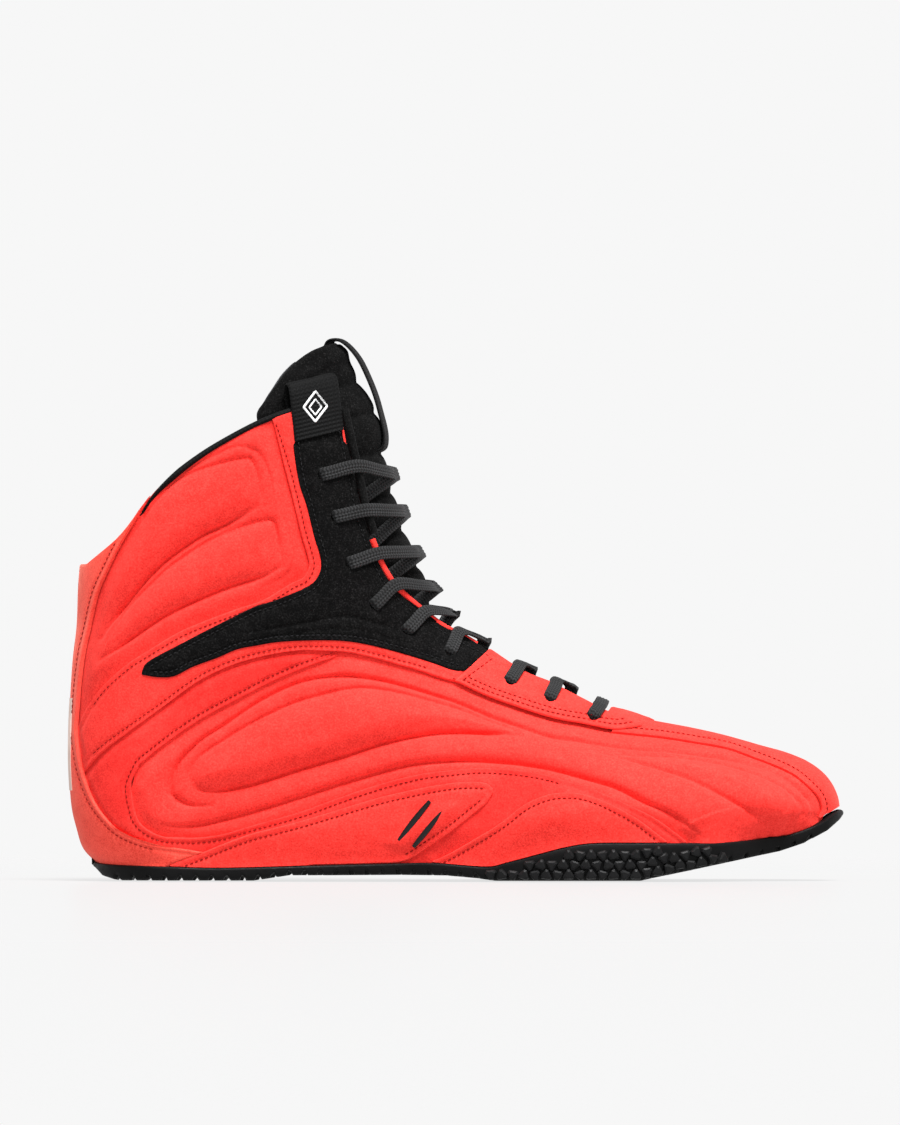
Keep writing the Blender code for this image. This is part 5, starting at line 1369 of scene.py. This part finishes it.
def build_sole():
    turn = np.linspace(0, math.pi, 520)
    x = 4.45 - 142.25 * np.cos(turn)
    x = 0.5 * x + 0.5 * np.linspace(-137.8, 146.7, 520)
    lateral, medial = sole_edges(x)
    middle = (lateral + medial) / 2
    middle[0, 0] = lateral[0, 0]
    loops = []
    for way, line in ((-1, lateral), (1, medial)):
        run = unit(np.gradient(line, axis=0))
        out = np.column_stack([run[:, 1], -run[:, 0]]) * (1 if way < 0 else -1)
        for _ in range(4):
            out[1:-1] = (out[:-2] + 2 * out[1:-1] + out[2:]) / 4
        loops.append((line, unit(out)))
    rim = read(FEATHER_TABLE, x)
    plain = read(BOTTOM_TABLE, x)
    groove = np.zeros(len(x))
    for spot in TREADS:
        groove = np.maximum(groove, 1 - ease(np.abs(x - spot), 0.55, 1.15))
    low = np.minimum(plain + TREAD_DEPTH * groove, rim - 0.9)
    shape = ((-2.2, 1.0, 0.0), (-1.2, 1.0, 0.35), (0.1, 1.0, 0.3), (0.75, 1.0, 0.05), (1.0, 1.0, -0.35),
             (1.05, 0.8, 0), (1.1, 0.6, 0), (1.15, 0.45, 0), (1.1, 0.3, 0), (1.0, 0.18, 0), (0.7, 0.08, 0),
             (0.1, 0.02, 0), (-0.8, 0.0, 0))
    sections = []
    for line, out in loops:
        rows = []
        for outward, share, lift in shape:
            z = low + (rim - low) * share + lift
            rows.append(np.column_stack([line + out * outward, z]))
        sections.append(np.stack(rows, axis=1))
    under = []
    for share in np.linspace(0, 1, 64)[1:-1]:
        spot = sections[0][:, -1] * (1 - share) + sections[1][:, -1] * share
        zigzag = 1.6 * np.abs((spot[:, 1] / 8.0) % 2 - 1)
        across = np.zeros(len(x))
        for tread in np.arange(-127.5, 139, 6.0):
            across = np.maximum(across, 1 - ease(np.abs(x - tread - zigzag + 0.8), 0.5, 1.1))
        column = np.abs((spot[:, 1] + 4.0) % 8.0 - 4.0)
        long = 1 - ease(column, 0.45, 1.0)
        rubber = 1 - ease(np.abs(x - 43), 24, 28)
        depth = np.maximum(across, long) * (1 - rubber * 0.75)
        spot[:, 2] = np.minimum(plain + TREAD_DEPTH * 0.85 * depth, rim - 0.9)
        under.append(spot)
    under = np.stack(under, axis=1)
    inside = []
    for share in (0.0, 0.06, 0.3, 0.5, 0.7, 0.94, 1.0):
        spot = sections[1][:, 0] * (1 - share) + sections[0][:, 0] * share
        spot[:, 2] = np.minimum(plain + SOLE_FLOOR, rim - 0.2)
        inside.append(spot)
    inside = np.stack(inside, axis=1)
    rings = np.concatenate([sections[0], under, sections[1][:, ::-1], inside], axis=1)
    points, faces = lofted(rings)
    add_mesh("rubber_outsole", points, faces, RUBBER, replaced=("outsole",), slot="black_rubber", sharp=35)
    build_studs(x, loops, rim, low)


def stud(points, spot, out, along, up, size, turn, height):
    """One triangular rubber stud with a bevelled top."""
    start = len(points)
    for reach, rise in ((1.0, -0.4), (0.97, 0.3), (0.84, 0.75), (0.5, 1.0)):
        for k in range(3):
            for lean in (-0.26, 0.26):
                angle = turn + math.tau * k / 3 + lean
                points.append(spot + (along * math.cos(angle) + up * math.sin(angle)) * size * reach
                              + out * height * rise)
    faces = []
    for level in range(3):
        for k in range(6):
            m = (k + 1) % 6
            low = start + level * 6
            faces.append((low + k, low + m, low + 6 + m, low + 6 + k))
    top = start + 18
    faces.append((top, top + 1, top + 2, top + 3))
    faces.append((top, top + 3, top + 4, top + 5))
    faces.append((start + 5, start + 4, start + 3, start + 2))
    faces.append((start + 5, start + 2, start + 1, start))
    return faces


def build_studs(x, loops, rim, low):
    points = []
    faces = []
    for line, out in loops:
        along_line = lengths(line)
        begin, end = np.interp(STUDDED, x, along_line)
        for level in range(3):
            for step, place in enumerate(np.arange(begin + (level % 2) * STUD_STEP / 2, end, STUD_STEP)):
                spot_x = np.interp(place, along_line, x)
                base = at(place, along_line, line)[0]
                way = unit(at(place, along_line, out)[0])
                under = float(np.interp(spot_x, x, low))
                over = float(np.interp(spot_x, x, rim))
                z = under + STUD_FIRST + level * STUD_RISE
                if z > over - STUD_MARGIN:
                    continue
                out3 = np.array((way[0], way[1], 0.0))
                along3 = np.array((-way[1], way[0], 0.0))
                spot = np.array((base[0] + way[0] * 1.15, base[1] + way[1] * 1.15, z))
                turn = math.pi / 2 if (step + level) % 2 else -math.pi / 2
                turn += rng.uniform(-0.35, 0.35)
                faces += stud(points, spot, out3, along3, np.array((0, 0, 1.0)), STUD_SIZE, turn,
                              rng.uniform(1.5, 2.1))
    for row, px in enumerate(np.arange(18, 70, 5.6)):
        for column, py in enumerate(np.arange(-38, 42, 6.0)):
            lateral, medial = sole_edges(np.array((px,)))
            y = py + 3.0 * (row % 2)
            if not lateral[0, 1] + 5 < y < medial[0, 1] - 5:
                continue
            spot = np.array((px, y, float(read(BOTTOM_TABLE, px)) + 0.5))
            faces += stud(points, spot, np.array((0, 0, -1.0)), np.array((1.0, 0, 0)), np.array((0, 1.0, 0)),
                          UNDER_STUD_SIZE, 0.0 if (row + column) % 2 else math.pi, 0.5)
    points = np.array(points)
    points[:, 2] = np.maximum(points[:, 2], np.maximum(read(BOTTOM_TABLE, points[:, 0]), 0.0))
    add_mesh("sole_studs", points, faces, RUBBER, slot="black_rubber", sharp=25)


build_ankle_pads()
build_ankle_band()
build_side_band()
build_quilt()
build_overlay()
build_patches()
build_heel()
build_eyestay()
build_toe_stripe()
build_linings()
build_tongue()
build_strap()
build_trims()
build_tabs()
build_marks()
build_lace()
build_sole()
spots, turns = gathered(RED_STITCHES)
add_mesh("red_stitching", spots, turns, RED_THREAD, slot="dark_red_suede", sharp=80)
spots, turns = gathered(GREY_STITCHES)
add_mesh("grey_stitching", spots, turns, GREY_THREAD, slot="black_lace", sharp=80)

# The CAD nodes that stay get finer materials.
BOARD_PAINT = plain_paint("fibre_board_grain", (0.36, 0.28, 0.19), 0.8, 900.0, 0.0003)
FOAM_PAINT = knit("footbed_cloth", (0.012, 0.012, 0.013), (0.045, 0.045, 0.048), 0.9, 0.85, 0.3)
TIP_PAINT = plain_paint("aglet_plastic", (0.015, 0.015, 0.016), 0.2, 600.0, 0.00005)
for name, paint in (("insole_board", BOARD_PAINT), ("footbed", FOAM_PAINT), ("aglet_first", TIP_PAINT),
                    ("aglet_second", TIP_PAINT)):
    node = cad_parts[name]
    node.data.materials.clear()
    node.data.materials.append(paint)

# Floor, lights and camera.
scene = bpy.context.scene
scene.view_settings.view_transform = "Standard"
scene.view_settings.look = "None"

FLOOR_GLOW = 0.717
FLOOR_TONE = 0.06
FLOOR_HALF = 9
FLOOR_LEVEL = -0.0004
FLOOR_GLOSS = 0.06
FADE = (0.28, 0.9)
FORWARD_SHARE = 0.2
WALL_FRONT = (0.66, 0.66, 0.66)
WALL_BACK = (0.93, 0.93, 0.93)
CEILING = (0.2, 0.2, 0.2)

floor_mesh = bpy.data.meshes.new("floor")
corners = [(x * FLOOR_HALF, y * FLOOR_HALF, FLOOR_LEVEL) for x, y in ((-1, -1), (1, -1), (1, 1), (-1, 1))]
floor_mesh.from_pydata(corners, [], [(0, 1, 2, 3)])
floor = bpy.data.objects.new("floor", floor_mesh)
scene.collection.objects.link(floor)
floor_paint = bpy.data.materials.new("pale_floor")
floor_paint.use_nodes = True
tree = floor_paint.node_tree
floor_shader = tree.nodes["Principled BSDF"]
for key, value in (("Base Color", (FLOOR_TONE, FLOOR_TONE, FLOOR_TONE, 1)), ("Roughness", 0.6),
                   ("Specular IOR Level", 0.0), ("Emission Color", (1, 1, 1, 1)), ("Emission Strength", FLOOR_GLOW)):
    floor_shader.inputs[key].default_value = value


def vector_math(how, first, second=(0, 0, 0), socket="Vector"):
    return add(tree, "ShaderNodeVectorMath", {0: first, 1: second}, operation=how).outputs[socket]


# The floor turns clear away from the boot: soon behind it and beside it, and further off in front.
ground = add(tree, "ShaderNodeTexCoord").outputs["Object"]
behind = vector_math("MAXIMUM", ground, (-FLOOR_HALF, 0, -FLOOR_HALF))
nearby = vector_math("LENGTH", behind, socket="Value")
forward = vector_math("LENGTH", vector_math("MULTIPLY", ground, (FORWARD_SHARE,) * 3), socket="Value")
reach = sums(tree, "MAXIMUM", nearby, forward)
clear = add(tree, "ShaderNodeBsdfTransparent").outputs["BSDF"]
gloss = add(tree, "ShaderNodeBsdfGlossy", {"Color": (FLOOR_GLOSS, FLOOR_GLOSS, FLOOR_GLOSS, 1), "Roughness": 0.22})
shiny = add(tree, "ShaderNodeAddShader", {0: floor_shader.outputs["BSDF"], 1: gloss.outputs["BSDF"]})
fade = add(tree, "ShaderNodeMixShader", {0: spread(tree, reach, *FADE), 1: shiny.outputs["Shader"], 2: clear})
tree.links.new(fade.outputs["Shader"], tree.nodes["Material Output"].inputs["Surface"])
floor_mesh.materials.append(floor_paint)

world = bpy.data.worlds.new("studio")
scene.world = world
world.use_nodes = True
tree = world.node_tree
sky = tree.nodes["Background"]
sky.inputs["Strength"].default_value = 1.0
way = add(tree, "ShaderNodeTexCoord").outputs["Generated"]
axes = add(tree, "ShaderNodeSeparateXYZ", {"Vector": way}).outputs
sides = mixed(tree, spread(tree, axes["Y"], -0.55, -0.1), WALL_FRONT, WALL_BACK)
tree.links.new(mixed(tree, spread(tree, axes["Z"], 0.3, 0.6), sides, CEILING), sky.inputs["Color"])


def sun(name, strength, angle, direction):
    """A soft lamp shining along the direction."""
    lamp = bpy.data.lights.new(name, "SUN")
    lamp.energy = strength
    lamp.angle = math.radians(angle)
    obj = bpy.data.objects.new(name, lamp)
    scene.collection.objects.link(obj)
    heading = np.array(direction, float)
    heading /= np.linalg.norm(heading)
    pitch = math.acos(-heading[2])
    obj.rotation_euler = (pitch, 0, math.atan2(heading[0], -heading[1]) + math.pi)


sun("key", 7.2, 24, (-0.12, 0.42, -1.0))
sun("fill", 0.85, 80, (-0.5, 0.9, -0.5))

# A long lens far away, so that the view is nearly parallel.
LENS = 900.0
SENSOR = 36.0
VIEW_HEIGHT = 0.4275
CAMERA_X = -0.0017
CAMERA_Z = 0.1205
camera = bpy.data.objects.new("camera", bpy.data.cameras.new("camera"))
scene.collection.objects.link(camera)
camera.data.lens = LENS
camera.data.sensor_width = SENSOR
camera.data.clip_end = 50
camera.location = (CAMERA_X, -VIEW_HEIGHT * LENS / SENSOR, CAMERA_Z)
camera.rotation_euler = (math.pi / 2, 0, 0)
scene.camera = camera
